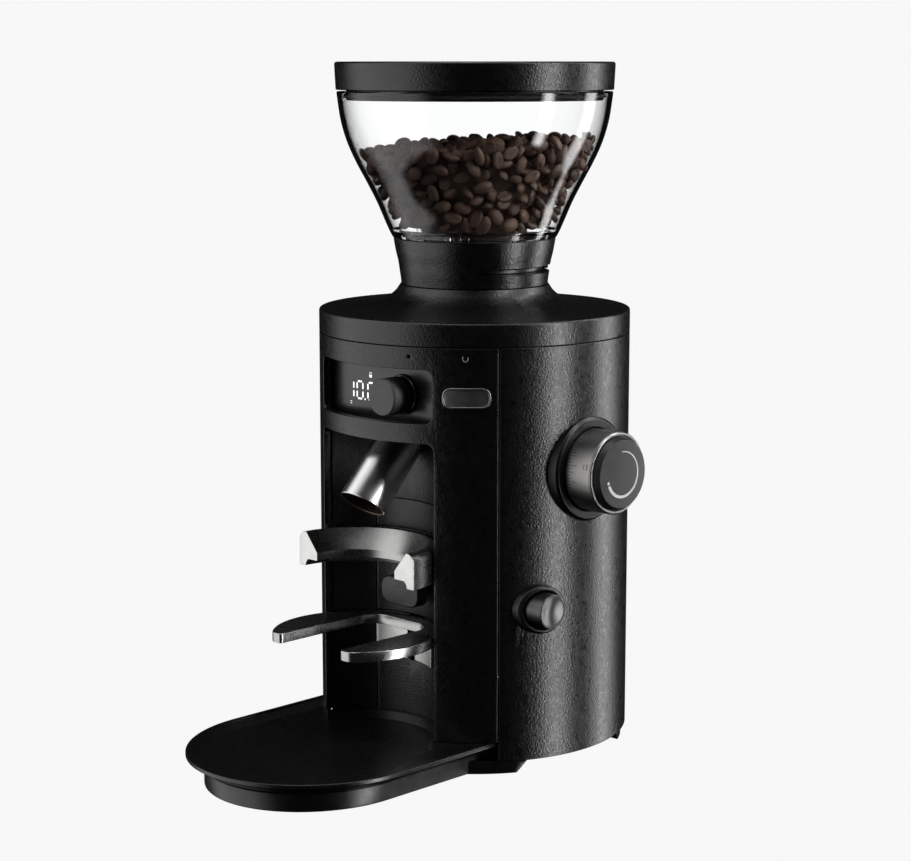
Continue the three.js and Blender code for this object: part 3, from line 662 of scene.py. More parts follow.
def tray_room(inset, margin):
    """The space in front of the body and inside the bay, as a tall solid to keep a tray in."""
    near = BODY_R - SHELL_T + margin
    bay = BAY_R - 0.5 - inset
    meet = math.acos((bay ** 2 + BAY_Y ** 2 - near ** 2) / (2 * bay * -BAY_Y))
    cut = math.radians(52.4)
    start = math.atan2(-bay * math.sin(meet), -(BAY_Y + bay * math.cos(meet)))
    left = [(near * math.sin(t), -near * math.cos(t)) for t in np.linspace(-cut, start, 14)]
    middle_arc = [(bay * math.sin(t), BAY_Y + bay * math.cos(t)) for t in np.linspace(-meet, meet, 60)]
    right = [(-x, y) for x, y in reversed(left)]
    far = 300.0
    outline = [(-far, -far), (-far, -far * math.cos(cut) / math.sin(cut)), *left, *middle_arc[1:-1], *right,
               (far, -far * math.cos(cut) / math.sin(cut)), (far, -far)]
    return plate(outline, 0, 60)


def build_tray():
    low = TRAY_LOW.z
    rim = TRAY_HIGH.z
    floor = 15.3
    outside = rounded([(0, low), (62.8, low), (65.5, 13.1), (TRAY_HALF, 18.3), (TRAY_HALF, rim), (0, rim)],
                      [0, 0.3, 0.8, 0.5, 0.7, 0], 4)
    inside = rounded([(0, rim + 4), (TRAY_HALF - 2.7, rim + 4), (TRAY_HALF - 3.4, rim - 0.9),
                      (65.5, floor + 0.6), (58, floor), (0, floor)], [0, 0, 0.6, 4, 9, 0], 6)
    solid = combine(stretched_ring(outside, -45), tray_room(0, 0), "INTERSECT")
    hollow = combine(stretched_ring(list(reversed(inside)), -45), tray_room(3, 3), "INTERSECT")
    made = bevelled(clean(combine(solid, hollow), 1e-3), 0.45, 3, 42)
    piece("grounds_tray", made, "tray", TRAY_SATIN, ["tray"], 30)


# ---- Round body, front panel and badge ----

def bearing_length(degrees, radius=BODY_R):
    return radius * math.radians(degrees)


def arc_x(x, radius=BODY_R):
    """Arc length on the body from the front to where its x coordinate is x."""
    return radius * math.asin(x / radius)


PANEL_DEG = math.degrees(math.asin(PANEL_HIGH.x / BODY_R))
WINDOW_HALF = GLASS_HIGH.x - 1.5
WINDOW_LOW = GLASS_LOW.z + 1.5
WINDOW_HIGH = GLASS_HIGH.z - 1.5
WINDOW_CORNER = 6.0
BAY_HALF = 47.4
BAY_TOP = LINER_HIGH.z - 1.7
DOT_DEG = 20.8
MARK_DEG = 41.1
MARK_Z = PANEL_HIGH.z - 5.5


def build_panel():
    half = bearing_length(PANEL_DEG)
    leg = arc_x(BAY_HALF)
    outline = rounded(
        [(-half, PANEL_LOW.z), (-leg, PANEL_LOW.z), (-leg, BAY_TOP), (leg, BAY_TOP), (leg, PANEL_LOW.z),
         (half, PANEL_LOW.z), (half, PANEL_HIGH.z), (-half, PANEL_HIGH.z)],
        [0.8, 1.2, 6, 6, 1.2, 0.8, 0.8, 0.8], 8)
    window_half = arc_x(WINDOW_HALF)
    window = box_outline(-window_half, WINDOW_LOW, window_half, WINDOW_HIGH, WINDOW_CORNER, 8)
    dot = arc(bearing_length(DOT_DEG), MARK_Z, 1.0, 0, 345, 23)
    made = wrapped(outline, BODY_R, -PANEL_T, 0, 0.45, [window, dot])
    piece("front_cover_panel", made, "housing", GRAINED, ["front_panel"])
    wider = arc(bearing_length(DOT_DEG), MARK_Z, 2.4, 0, 345, 23)
    backing = wrapped(wider, BODY_R - PANEL_T, -1.2, -0.2, 0.1)
    piece("dot_backing", backing, "housing", SATIN)


def ring_stroke(x, y, inner, outer, start, end, steps=24):
    """The outline of part of a ring."""
    return arc(x, y, outer, start, end, steps) + arc(x, y, inner, end, start, steps)


def build_marks():
    """Small unlock marks: an open ring on the panel, whose light grey is a painted highlight of its raised
    edge, and a drop on the cover.
    """
    open_ring = ring_stroke(bearing_length(MARK_DEG), MARK_Z - 0.3, 1.25, 1.95, -215, 35)
    made = wrapped(open_ring, BODY_R, -0.15, 0.12, 0.05, (), 0.5)
    # The ring's light grey is a painted highlight.
    piece("open_mark", made, "housing", HIGHLIGHT_GREY_PAINT)
    x = bearing_length(21.5)
    z = COVER_LOW.z + 3.2

    def drop(size):
        tip = [(x, z + 4.4 * size)]
        return tip + arc(x, z - 0.6, 1.55 * size, 145, 395, 20)

    made = wrapped(drop(1.0), BODY_R, -0.15, 0.14, 0.05, [drop(0.62)], 0.5)
    piece("drop_mark", made, "cover", GRAINED_FINE)


def build_shell():
    start = bearing_length(PANEL_DEG + 0.45)
    end = bearing_length(360 - PANEL_DEG - 0.45)
    outline = rounded([(start, BODY_LOW.z), (end, BODY_LOW.z), (end, BODY_HIGH.z), (start, BODY_HIGH.z)], 0.8)
    dial_hole = arc(bearing_length(90), DIAL_Z, 29.5, 0, 354, 59)
    button_x = BODY_R * (math.pi / 2 - math.asin(-BUTTON_AT.y / BODY_R))
    button_hole = arc(button_x, BUTTON_AT.z, 13.6, 0, 350, 35)
    inlet_low, inlet_high = corners("mains_inlet")
    back = bearing_length(180)
    inlet_hole = box_outline(back + inlet_low.x - 0.5, inlet_low.z - 0.5, back + inlet_high.x + 0.5,
                             inlet_high.z + 0.5, 2.5)
    made = wrapped(outline, BODY_R, -SHELL_T, 0, 0.4, [dial_hole, button_hole, inlet_hole])
    piece("round_shell", made, "housing", GRAINED, ["body_shell"])


def build_badge():
    low, high = corners("badge")
    middle_z = (low.z + high.z) / 2
    centre = bearing_length(41.5)
    half_wide = 14.0
    half_tall = (high.z - low.z) / 2
    rim = box_outline(centre - half_wide, middle_z - half_tall, centre + half_wide, middle_z + half_tall,
                      half_tall * 0.98, 14)
    inset = 1.1
    field = box_outline(centre - half_wide + inset, middle_z - half_tall + inset, centre + half_wide - inset,
                        middle_z + half_tall - inset, (half_tall - inset) * 0.98, 14)
    frame_ring = wrapped(rim, BODY_R, 0.0, 1.2, 0.3, [field], 1.0)
    plain_field = wrapped(field, BODY_R, 0.0, 0.75, 0.1, (), 1.0)
    piece("badge_rim", frame_ring, "housing", BRIGHT, ["badge"])
    piece("badge_field", plain_field, "housing", BADGE_METAL)


# ---- Bay ----

RAIL_HALF = 27.0
RAIL_T = 2.9
FORK_TRAVEL = 20.0
NECK_SLOT_LOW = LOWER_HIGH.z - 8.0 - FORK_TRAVEL - 0.6


def bay_wrap(outline, near, far, bevel, holes=()):
    return wrapped(outline, BAY_R, near, far, bevel, holes, 2.5, BAY_Y, True)


def opening(height, centre_z):
    """The spout's open notch in an upright wall, from its right end at the top round to its left end."""
    half_wide = 14.75
    half_tall = 21.4
    start = math.degrees(math.asin((height - centre_z) / half_tall))
    turns = np.radians(np.linspace(start, -180 - start, 41))
    return [(half_wide * math.cos(t), centre_z + half_tall * math.sin(t)) for t in turns]


def build_liner():
    low = LINER_LOW.z
    top = BAY_TOP + SEAM_GAP
    inner = BODY_R - PANEL_T - SEAM_GAP
    meet = math.acos((BAY_R ** 2 + BAY_Y ** 2 - inner ** 2) / (2 * BAY_R * -BAY_Y))
    outer_edge = BAY_R * meet - 0.3
    inner_edge = BAY_R * math.asin((RAIL_HALF + 0.25) / BAY_R)
    sides = [bay_wrap(box_outline(a, low, b, top, 0.6), 0, 3.4, 0.35)
             for a, b in ((-outer_edge, -inner_edge), (inner_edge, outer_edge))]
    back_edge = BAY_R * math.asin((RAIL_HALF + 4) / BAY_R)
    neck_slot = box_outline(-5.6, NECK_SLOT_LOW, 5.6, 90, 2)
    pad_hole = arc(0, middle("switch_pad").z, 4.0, 0, 340, 17)
    back_top = 200.0
    back_outline = [(-back_edge, low), (back_edge, low), (back_edge, back_top), *opening(back_top, 211.6),
                    (-back_edge, back_top)]
    back = bay_wrap(back_outline, 3.3, 5.6, 0.2, [neck_slot, pad_hole])
    walls = together(*sides, back)
    piece("bay_wall", walls, "housing", GRAINED_FINE, ["recess_liner"])
    radius = BAY_R + 3.4
    edge = [(radius * math.sin(t), BAY_Y + radius * math.cos(t)) for t in np.linspace(-meet, meet, 60)]
    front = [(inner * math.sin(t), -inner * math.cos(t))
             for t in np.linspace(math.asin(edge[-1][0] / inner), -math.asin(edge[-1][0] / inner), 30)]
    mouth_y = -57.7
    mouth_end = 29
    mouth = [(14.6 * math.cos(t), mouth_y + 19.9 * math.sin(t))
             for t in np.radians(np.linspace(-180 - mouth_end, mouth_end, 40))]
    mouth_half = mouth[-1][0] + 0.1
    left = [point for point in edge if point[0] < -mouth_half]
    right = [point for point in edge if point[0] > mouth_half]
    ceiling = plate(left + mouth + right + front[1:-1], BAY_TOP + SEAM_GAP, LINER_HIGH.z, 0.2)
    piece("bay_ceiling", ceiling, "housing", GRAINED_FINE)


def build_rails():
    edge = BAY_R * math.asin(RAIL_HALF / BAY_R)
    for node in ("rail_lower", "fork_block", "rail_middle", "rail_top"):
        low, high = corners(node)
        holes = []
        outline = box_outline(-edge, low.z, edge, high.z, 0.7, 4)
        if node == "rail_lower":
            slot = 5.7
            outline = rounded([(-edge, low.z), (edge, low.z), (edge, high.z), (slot, high.z),
                               (slot, NECK_SLOT_LOW), (-slot, NECK_SLOT_LOW), (-slot, high.z),
                               (-edge, high.z)], 0.7, 3)
        if node == "fork_block":
            holes = [arc(0, middle("switch_pad").z, 4.0, 0, 340, 17)]
        if node == "rail_top":
            notch = opening(high.z, 207.3)
            outline = [(-edge, low.z), (edge, low.z), (edge, high.z), *notch, (-edge, high.z)]
        made = bay_wrap(outline, 0, RAIL_T, 0.4, holes)
        piece(f"{node}_strip", made, "housing", GRAINED_FINE, [node])


def build_upper_fork():
    z = UPPER_LOW.z
    top = UPPER_HIGH.z
    crown = 5.4
    shoulder = arc(FORK_R - crown, top - crown, crown, 0, 90, 10)
    outline = rounded(
        [(44, z), (FORK_R, z), *shoulder, (43.2, top), (33.5, z + 9.2), (33.5, z + 4.2), (41.5, z + 4.2),
         (43.2, z + 2.6)],
        [0.3, 0.5] + [0] * len(shoulder) + [0.3, 0.8, 0.6, 0.5, 0.3], 7)
    half = lathe(outline, 96, 90, 180)
    made = bevelled(half, 0.4, 3, 38)
    move(made, 0, BAY_Y)
    ring_piece = piece("upper_fork_ring", made, "housing", STEEL, ["fork_upper"], 30, BLASTED)
    for face in ring_piece.data.polygons:
        flat_front = face.normal.y < -0.99 and face.center.y < (BAY_Y + 0.5) * MM
        face.material_index = 1 if flat_front else 0
    lug = plate(box_outline(-14, z + 1, 14, z + 15, 2.2), 50.6, 56, 0.5)
    piece("upper_fork_lug", along_front(lug), "housing", STEEL)


def build_lower_fork():
    thick = 6
    low = LOWER_HIGH.z - thick
    high = LOWER_HIGH.z
    tip_y = LOWER_LOW.y
    slot_half = 25.8
    slot_back = -62.0
    tip = math.degrees(math.asin((BAY_Y - tip_y) / FORK_R))
    circle = arc(0, BAY_Y, FORK_R, -tip, 180 + tip, 96)
    slot_corner = 13.0
    left = -slot_half
    inner = [(left, tip_y)]
    inner += arc(left + slot_corner, slot_back - slot_corner, slot_corner, 180, 90, 12)
    inner += arc(slot_half - slot_corner, slot_back - slot_corner, slot_corner, 90, 0, 12)
    inner += [(slot_half, tip_y)]
    sharp_ends = tips_rounded(circle, inner, 2.4)
    fork = plate(sharp_ends, low, high, 0.45)
    skirt_low = LOWER_LOW.z
    skirt_top = low + 1
    skirt_edge = FORK_R * math.radians(31)
    skirt_thick = 3.4
    split = 3.2
    split_top = low - 2.5
    skirt_outline = [(-skirt_edge, skirt_low), (-split, skirt_low), (-split, split_top), (split, split_top),
                     (split, skirt_low), (skirt_edge, skirt_low), (skirt_edge, skirt_top),
                     (-skirt_edge, skirt_top)]
    skirt = wrapped(rounded(skirt_outline, 0.6, 3), FORK_R, -skirt_thick, 0, 0.35, (), 2.5, BAY_Y, True)
    neck = plate(box_outline(-5, -56, 5, -44.6, 0.8), low - 2, high - 0.6, 0.3)
    made = together(fork, skirt, neck)
    fork_piece = piece("lower_fork_plate", made, "lower_fork", STEEL, ["fork_lower"], 30,
                       BLASTED)
    for face in fork_piece.data.polygons:
        if face.normal.y < -0.8 and face.center.z < (low - 0.5) * MM:
            face.material_index = 1


def tips_rounded(circle, inner, radius):
    """The fork's outline with its four tip corners rounded."""
    ends = [circle[-1], inner[0], inner[-1], circle[0]]
    corners_of = []
    for at, before, after in (
        (ends[0], circle[-3], inner[0]),
        (ends[1], circle[-1], inner[1]),
        (ends[2], inner[-2], circle[0]),
        (ends[3], inner[-1], circle[2]),
    ):
        at, before, after = Vector(at), Vector(before), Vector(after)
        start = at + (before - at).normalized() * radius
        end = at + (after - at).normalized() * radius
        corners_of.append([tuple(start * (1 - t) ** 2 + at * 2 * t * (1 - t) + end * t * t)
                           for t in np.linspace(0, 1, 7)])
    return circle[2:-2] + corners_of[0] + corners_of[1] + inner[1:-1] + corners_of[2] + corners_of[3]


def build_pad():
    low, high = corners("switch_pad")
    face = box_outline(low.x, low.z, high.x, high.z, (high.z - low.z) / 2 - 0.1, 12)
    pad = along_front(plate(face, 56, -low.y, 1.3, (), 4))
    rod = lathe(rounded([(0, 42.5), (3.5, 42.5), (3.5, 57), (0, 57)], 0.3), 32)
    stem = along_front(move(rod, 0, middle("switch_pad").z))
    piece("pad_cushion", together(pad, stem), "pad", GRAINED_FINE, ["switch_pad"])


# ---- Spout ----

SPOUT_TILT = math.radians(43)
SPOUT_CUT = math.radians(36)
SPOUT_MOUTH = Vector((0, -95, 159))
SPOUT_LENGTH = 66.0


def build_spout():
    low, high = corners("spout")
    radius = (high.x - low.x) / 2
    wall = 1.2
    lip = 0.35
    axis = Vector((0, math.sin(SPOUT_TILT), math.cos(SPOUT_TILT)))
    side = Vector((1, 0, 0))
    front = side.cross(axis)
    plane = Vector((0, math.sin(SPOUT_CUT), math.cos(SPOUT_CUT)))
    steps = 120
    inner = radius - wall
    rings = [(radius, SPOUT_LENGTH), (radius, 40.0), (radius, lip), (radius - lip, 0.0), (inner + lip, 0.0),
             (inner, lip), (inner, 40.0), (inner, SPOUT_LENGTH)]
    points = []
    for i in range(steps):
        t = 2 * math.pi * i / steps
        out = side * math.cos(t) + front * math.sin(t)
        for r, along in rings:
            mouth = -(out * r).dot(plane) / axis.dot(plane)
            reach = along if along > 20 else mouth + along
            points.append(SPOUT_MOUTH + out * r + axis * reach)
    count = len(rings)
    faces = []
    for i in range(steps):
        for k in range(count):
            a, b = i * count, ((i + 1) % steps) * count
            n = (k + 1) % count
            faces.append((a + k, b + k, b + n, a + n))
    tube = clean(mesh_from(points, faces))
    made = piece("spout_tube", tube, "housing", POLISHED, ["spout"], 40, DARK_INSIDE_STEEL)
    centre = SPOUT_MOUTH * MM
    # The tube's inner faces take the darker, brownish metal.
    for face in made.data.polygons:
        offset = face.center - centre
        radial = offset - axis * offset.dot(axis)
        face.material_index = 1 if face.normal.dot(radial) < 0 and radial.length < (radius - 0.9) * MM else 0


# ---- Dial ----

def at_dial(bm):
    return move(along_x(bm), 0, 0, DIAL_Z)


def build_dial_ring():
    low, high = corners("knob_ring")
    face = high.x
    outer = (high.z - low.z) / 2
    bore = (KNOB_HIGH.z - KNOB_LOW.z) / 2 + 0.8
    outline = rounded(
        [(bore, 87), (bore + 2.5, 84), (29.2, 84), (29.2, 90), (outer, 90), (outer, face - 1.5),
         (outer - 1.7, face), (bore, face)],
        [0.2, 0.2, 0.2, 0.2, 0.2, 0.6, 0.5, 0.3], 6)
    ring_mesh = at_dial(lathe(outline, 144))

    def settle(x, y, z):
        """Lets the flange's foot follow the round body."""
        r = math.hypot(y, z - DIAL_Z)
        if r < 29.6 or x > 91:
            return x, y, z
        return math.sqrt(BODY_R ** 2 - y ** 2) - 1.0, y, z

    piece("dial_bezel", reshape(ring_mesh, settle), "housing", SATIN, ["knob_ring"])


def build_dial():
    front = KNOB_HIGH.x
    back = KNOB_LOW.x
    radius = (KNOB_HIGH.z - KNOB_LOW.z) / 2
    bore = 4.3
    recess = 22.3
    outline = rounded(
        [(bore, back), (radius - 0.5, back), (radius, back + 0.5), (radius, front - 1.3),
         (radius - 0.25, front - 1.0), (radius - 0.25, front - 0.7), (radius - 0.9, front), (recess, front),
         (recess, front - 2.0), (bore, front - 2.0)],
        [0.1, 0.2, 0.2, 0.1, 0.1, 0.2, 0.4, 0.4, 0.1, 0.1], 4)
    made = at_dial(lathe(outline, 160))
    barrel = piece("dial_barrel", made, "dial", TURNED, ["dial_knob"], 30, BRIGHT)
    for face in barrel.data.polygons:
        if face.center.x > (front - 1.1) * MM:
            face.material_index = 1
    cap_back = CAP_LOW.x
    cap_front = CAP_HIGH.x
    cap_r = (CAP_HIGH.z - CAP_LOW.z) / 2
    cap = rounded([(0, cap_back), (cap_r, cap_back), (cap_r, cap_back + 2.0), (cap_r - 1.8, cap_front),
                   (0, cap_front)], [0, 0.2, 0.7, 0.5, 0], 5)
    piece("dial_face", at_dial(lathe(cap, 144)), "dial", SOFT, ["dial_cap"])


def build_dial_arc():
    """A white arc that grows thicker round the face, with a dot at its end."""
    middle_r = 13.3
    start = 93.0
    end = -155.0
    steps = 80
    outer = []
    inner = []
    for i in range(steps + 1):
        share = i / steps
        half = 0.28 + 0.72 * share
        t = math.radians(start + (end - start) * share)
        outer.append(((middle_r + half) * math.cos(t), (middle_r + half) * math.sin(t)))
        inner.append(((middle_r - half) * math.cos(t), (middle_r - half) * math.sin(t)))
    band = plate(outer + inner[::-1], CAP_HIGH.x - 0.1, CAP_HIGH.x + 0.12)
    dot_turn = math.radians(end - 7.5)
    dot = plate(arc(middle_r * math.cos(dot_turn), middle_r * math.sin(dot_turn), 1.0, 0, 345, 23),
                CAP_HIGH.x - 0.1, CAP_HIGH.x + 0.12)
    piece("dial_arc", at_dial(together(band, dot)), "dial", WHITE_INK)


NUMBERS = {81.5: "20", 14.0: "15", -53.5: "10", -121.0: "5", 149.0: "25", -171.0: "0"}
TICK_STEP = 4.5


def on_barrel(bm, degrees):
    """Wraps a flat mark round the dial's barrel. Its x runs along the dial, its y round it, and the angle is
    counted upwards from the front."""
    radius = (KNOB_HIGH.z - KNOB_LOW.z) / 2

    def bend(x, y, z):
        t = math.radians(degrees) + y / radius
        r = radius + z
        return x, -r * math.cos(t), DIAL_Z + r * math.sin(t)

    return reshape(bm, bend)


def number_mesh(text, size, x, degrees):
    curve = bpy.data.curves.new("number", "FONT")
    curve.body = text
    curve.size = size
    curve.align_x = "LEFT"
    curve.align_y = "CENTER"
    curve.extrude = 0.06
    holder = bpy.data.objects.new("number_holder", curve)
    bpy.context.scene.collection.objects.link(holder)
    made = bpy.data.meshes.new_from_object(holder.evaluated_get(bpy.context.evaluated_depsgraph_get()))
    bm = bmesh.new()
    bm.from_mesh(made)
    bpy.data.objects.remove(holder)
    bpy.data.curves.remove(curve)
    bpy.data.meshes.remove(made)
    move(clean(bm), x)
    return on_barrel(bm, degrees)


def build_dial_scale():
    first = KNOB_LOW.x + 9.4
    marks = []
    for i in range(80):
        degrees = 14.0 + i * TICK_STEP
        length = 7.0 if i % 15 == 0 else 5.2 if i % 3 == 0 else 3.6
        line = plate(box_outline(first, -0.16, first + length, 0.16, 0.05, 2), -0.05, 0.06)
        marks.append(on_barrel(line, degrees))
    for degrees, text in NUMBERS.items():
        marks.append(number_mesh(text, 4.6, first + 11.3, degrees))
    piece("dial_scale", together(*marks), "dial", DARK_INK)


# ---- Side button ----

def build_button():
    low, high = corners("button_ring")
    outer = (high.z - low.z) / 2
    bore = (BUTTON_HIGH.z - BUTTON_LOW.z) / 2 + 0.4
    profile = rounded([(bore, -12), (13, -12), (13, -1), (outer, -1), (outer, 3.5), (outer - 1.2, 4.6),
                       (bore + 1.2, 4.6), (bore, 3.4)], [0.1, 0.1, 0.1, 0.1, 0.9, 0.8, 0.8, 0.5], 5)
    bezel = lathe(profile, 120)

    def follow(x, y, z):
        """Height over the round body becomes depth along the dial side."""
        across = BUTTON_AT.y + x
        return math.sqrt((BODY_R + z) ** 2 - across ** 2), across, BUTTON_AT.z + y

    piece("button_bezel", reshape(bezel, follow), "housing", SATIN, ["button_ring"])
    radius = bore - 0.4
    front = BUTTON_HIGH.x
    dish_r = radius - 1.1
    dish_deep = 1.9
    dish = [(dish_r * (1 - k / 10), front - dish_deep * math.sin(math.pi / 2 * k / 10)) for k in range(1, 11)]
    edge = arc(radius - 0.7, front - 0.7, 0.7, 0, 90, 5)
    outline = [(0, 66), (3, 66), (3, 76), (radius, 76), *edge, *dish]
    cap = move(along_x(lathe(outline, 120)), 0, BUTTON_AT.y, BUTTON_AT.z)
    piece("button_cap", cap, "button", DARK_METAL, ["side_button"], 35)


# ---- Display and encoder ----

FRAME_LOW = WINDOW_LOW - 4.5


def fine(outline, longest):
    """Adds points, so that no side of the outline is longer than this."""
    result = []
    for a, b in zip(outline, outline[1:] + outline[:1]):
        a, b = Vector(a), Vector(b)
        parts = max(1, math.ceil((b - a).length / longest))
        result += [tuple(a.lerp(b, k / parts)) for k in range(parts)]
    return result


def build_display_frame():
    """The deep sides of the window, whose front edge follows the round panel."""
    back = GLASS_LOW.y - 0.3
    radius = BODY_R - PANEL_T - 0.3
    inner = fine(box_outline(-WINDOW_HALF, FRAME_LOW, WINDOW_HALF, WINDOW_HIGH, WINDOW_CORNER, 8), 3)
    outer = fine(box_outline(-WINDOW_HALF - 1.6, FRAME_LOW - 1.4, WINDOW_HALF + 1.6, WINDOW_HIGH + 1.6,
                             WINDOW_CORNER + 1.5, 8), 3)
    outer = [outer[round(i * len(outer) / len(inner)) % len(outer)] for i in range(len(inner))]
    loops = []
    for x, z in inner:
        loops.append((x, back, z))
    for x, z in inner:
        loops.append((x, -math.sqrt(radius ** 2 - x ** 2), z))
    for x, z in outer:
        loops.append((x, -math.sqrt(radius ** 2 - x ** 2), z))
    for x, z in outer:
        loops.append((x, back, z))
    count = len(inner)
    faces = []
    for ring_index in range(4):
        a = ring_index * count
        b = ((ring_index + 1) % 4) * count
        for k in range(count):
            n = (k + 1) % count
            faces.append((a + k, a + n, b + n, b + k))
    made = clean(mesh_from(loops, faces))
    piece("window_frame", made, "housing", SATIN, ["display_frame"])


def build_display_glass():
    hole = arc(ENCODER_AT.x, ENCODER_AT.z, 5.6, 0, 350, 35)
    outline = box_outline(-WINDOW_HALF - 1.3, FRAME_LOW - 1.2, WINDOW_HALF + 1.3, WINDOW_HIGH + 1.5,
                          WINDOW_CORNER + 1.5, 8)
    made = along_front(plate(outline, -GLASS_HIGH.y, -GLASS_LOW.y, 0.2, [hole]))
    piece("display_window", made, "housing", GLOSS, ["display_glass"])


SEGMENTS = {
    "a": ((0.14, 1.0), (0.86, 1.0)),
    "b": ((1.0, 0.93), (1.0, 0.57)),
    "c": ((1.0, 0.43), (1.0, 0.07)),
    "d": ((0.14, 0.0), (0.86, 0.0)),
    "e": ((0.0, 0.43), (0.0, 0.07)),
    "f": ((0.0, 0.93), (0.0, 0.57)),
    "g": ((0.14, 0.5), (0.86, 0.5)),
}
DIGITS = {"1": "bc", "0": "abcdef"}
CELLS = ((-31.4, "1"), (-23.4, "0"), (-14.0, "0"))  # left edge and digit of each cell
CELL_WIDE = 5.0
CELL_LOW = 217.8
CELL_TALL = 10.3


def segment(cell, name):
    """One bar of a digit, on the front of the glass."""
    (x0, z0), (x1, z1) = SEGMENTS[name]
    left = CELLS[cell][0]
    start = Vector((left + x0 * CELL_WIDE, CELL_LOW + z0 * CELL_TALL))
    end = Vector((left + x1 * CELL_WIDE, CELL_LOW + z1 * CELL_TALL))
    half = 0.52
    way = (end - start).normalized()
    across = Vector((-way.y, way.x)) * half
    tip = way * half
    outline = [start - tip * 0.2, start + across + tip * 0.6, end + across - tip * 0.6, end + tip * 0.2,
               end - across - tip * 0.6, start - across + tip * 0.6]
    return glass_mark([tuple(p) for p in outline])


def glass_mark(outline):
    front = -GLASS_LOW.y
    return along_front(plate(outline, front + 0.01, front + 0.05))


def build_digits():
    lit = []
    ghost = []
    for cell, (_, digit) in enumerate(CELLS):
        for name in SEGMENTS:
            if name in DIGITS[digit]:
                lit.append(segment(cell, name))
            else:
                ghost.append(segment(cell, name))
    point_x = CELLS[1][0] + CELL_WIDE + 1.9
    lit.append(glass_mark(box_outline(point_x - 0.5, CELL_LOW - 0.5, point_x + 0.5, CELL_LOW + 0.5, 0.3)))
    lit += small_marks()
    piece("display_lit", together(*lit), "housing", LIT)
    piece("display_ghost", together(*ghost), "housing", GHOST)


def small_marks():
    """A plain cup sign over the digits, and a short two-bar sign under them."""
    x, z = -11.6, 232.4
    cup = [(x - 1.2, z + 0.5), (x + 1.2, z + 0.5), (x + 0.8, z - 1.1), (x - 0.8, z - 1.1)]
    steam = [box_outline(x + dx - 0.16, z + 0.95, x + dx + 0.16, z + 2.2, 0.12) for dx in (-0.6, 0.6)]
    low_x, low_z = -28.6, 214.9
    bars = [box_outline(low_x - 0.7, low_z + dz - 0.16, low_x + 0.7, low_z + dz + 0.16, 0.12)
            for dz in (-0.6, 0.6)]
    return [glass_mark(outline) for outline in [cup, *steam, *bars]]


def build_encoder():
    radius = (ENCODER_HIGH.x - ENCODER_LOW.x) / 2
    front = -ENCODER_LOW.y
    back = -ENCODER_HIGH.y
    bore = 3.3
    groove = radius - 0.22
    outline = rounded(
        [(bore, back), (radius - 0.3, back), (radius, back + 0.3), (radius, front - 1.3),
         (groove, front - 1.15), (groove, front - 0.95), (radius, front - 0.8), (radius - 0.5, front),
         (0, front), (0, front - 4.6), (bore, front - 4.6)],
        [0.1, 0.1, 0.2, 0.05, 0.05, 0.05, 0.1, 0.4, 0, 0, 0.1], 4)
    knob = along_front(lathe(outline, 120))
    move(knob, ENCODER_AT.x, 0, ENCODER_AT.z)
    piece("encoder_cap", knob, "encoder_turn", ENCODER_SATIN, ["encoder_knob"])
    build_encoder_collar(radius)


def build_encoder_collar(radius):
    """A thin polished collar on the glass, round the knob's hole."""
    back = -GLASS_LOW.y + 0.1
    outline = rounded([(7.5, back), (radius + 1.1, back), (radius + 0.9, back + 1.9),
                       (radius + 0.2, back + 2.3), (8.5, back + 2.3), (7.5, back + 1.4)],
                      [0, 0.1, 0.6, 0.3, 0.6, 0.2], 4)
    collar = move(along_front(lathe(outline, 96)), ENCODER_AT.x, 0, ENCODER_AT.z)
    piece("encoder_collar", collar, "housing", COLLAR_GLOSS)


# ---- Top cover and hopper ----

def build_cover():
    low = COVER_LOW.z
    neck = COVER_HIGH.z
    top_line = smooth_line([(93.6, 268.9), (84, 269.5), (72, 270.5), (62, 271.9), (54, 274.6), (48.6, 278.6),
                            (45.4, neck)], 8)
    outline = [(BODY_R - SHELL_T, low), (BODY_R - 0.4, low), (BODY_R, low + 0.4)]
    outline += arc(BODY_R - 1.5, 267.4, 1.5, 0, 80, 6)
    outline += top_line[1:]
    outline += [(42.4, neck), (42.4, 277), (54, 267.6), (BODY_R - SHELL_T, 266)]
    piece("cover_shell", lathe(outline, 200), "cover", GRAINED_PLASTIC, ["top_cover"], 40)


def build_collar():
    low = COLLAR_LOW.z
    top = COLLAR_HIGH.z
    side = smooth_line([(44.7, low + 0.4), (45.0, 286.5), (45.7, 291.4), (46.6, 297.3), (48.0, 303.2),
                        (49.4, top - 0.4)], 6)
    outline = [(0, low + 2), (41, low + 2), (41, low), (44.3, low), *side, (49.1, top), (46.4, top),
               (44.2, 300.5), (42, 291.4), (0, 291.4)]
    body = lathe(outline, 176)
    slot_r = 46
    slot_outline = box_outline(bearing_length(47, slot_r), 291, bearing_length(182, slot_r), 295.4, 1.6)
    slot = wrapped(slot_outline, slot_r, -5, 8, 0)
    made = clean(combine(body, slot), 1e-3)
    for mirror in (0, 180):
        window = turn(plate(ring_stroke(0, 0, 8, 36, -120, -60, 24), 280, 300), mirror)
        made = clean(combine(made, window), 1e-3)
    piece("collar_shell", made, "hopper", GRAINED_PLASTIC, ["hopper_collar"], 30)


def build_gate():
    low, high = corners("gate_disc")
    holes = [ring_stroke(0, 0, 8, 36, start, start + 60, 20) for start in (-120, 60)]
    disc = plate(arc(0, 0, 41.4, 0, 356, 89), low.z, high.z, 0.3, holes)
    tab = plate(box_outline(44, -4.5, 50.5, 4.5, 2), low.z, high.z, 0.4)
    turn(tab, 82)
    skirt = plate(ring_stroke(0, 0, 41.0, 45.0, 48.5, 91), low.z, high.z, 0.4)
    piece("gate_plate", together(disc, skirt, tab), "gate", SATIN, ["gate_disc"])


BOWL_SIDE = [(49.9, 311.9), (51.6, 315.0), (54.2, 320.8), (59.4, 333.0), (65.6, 345.2), (72.1, 357.4),
             (77.4, 369.5), (80.9, 381.7), (82.8, 393.9), (83.3, 398.6)]


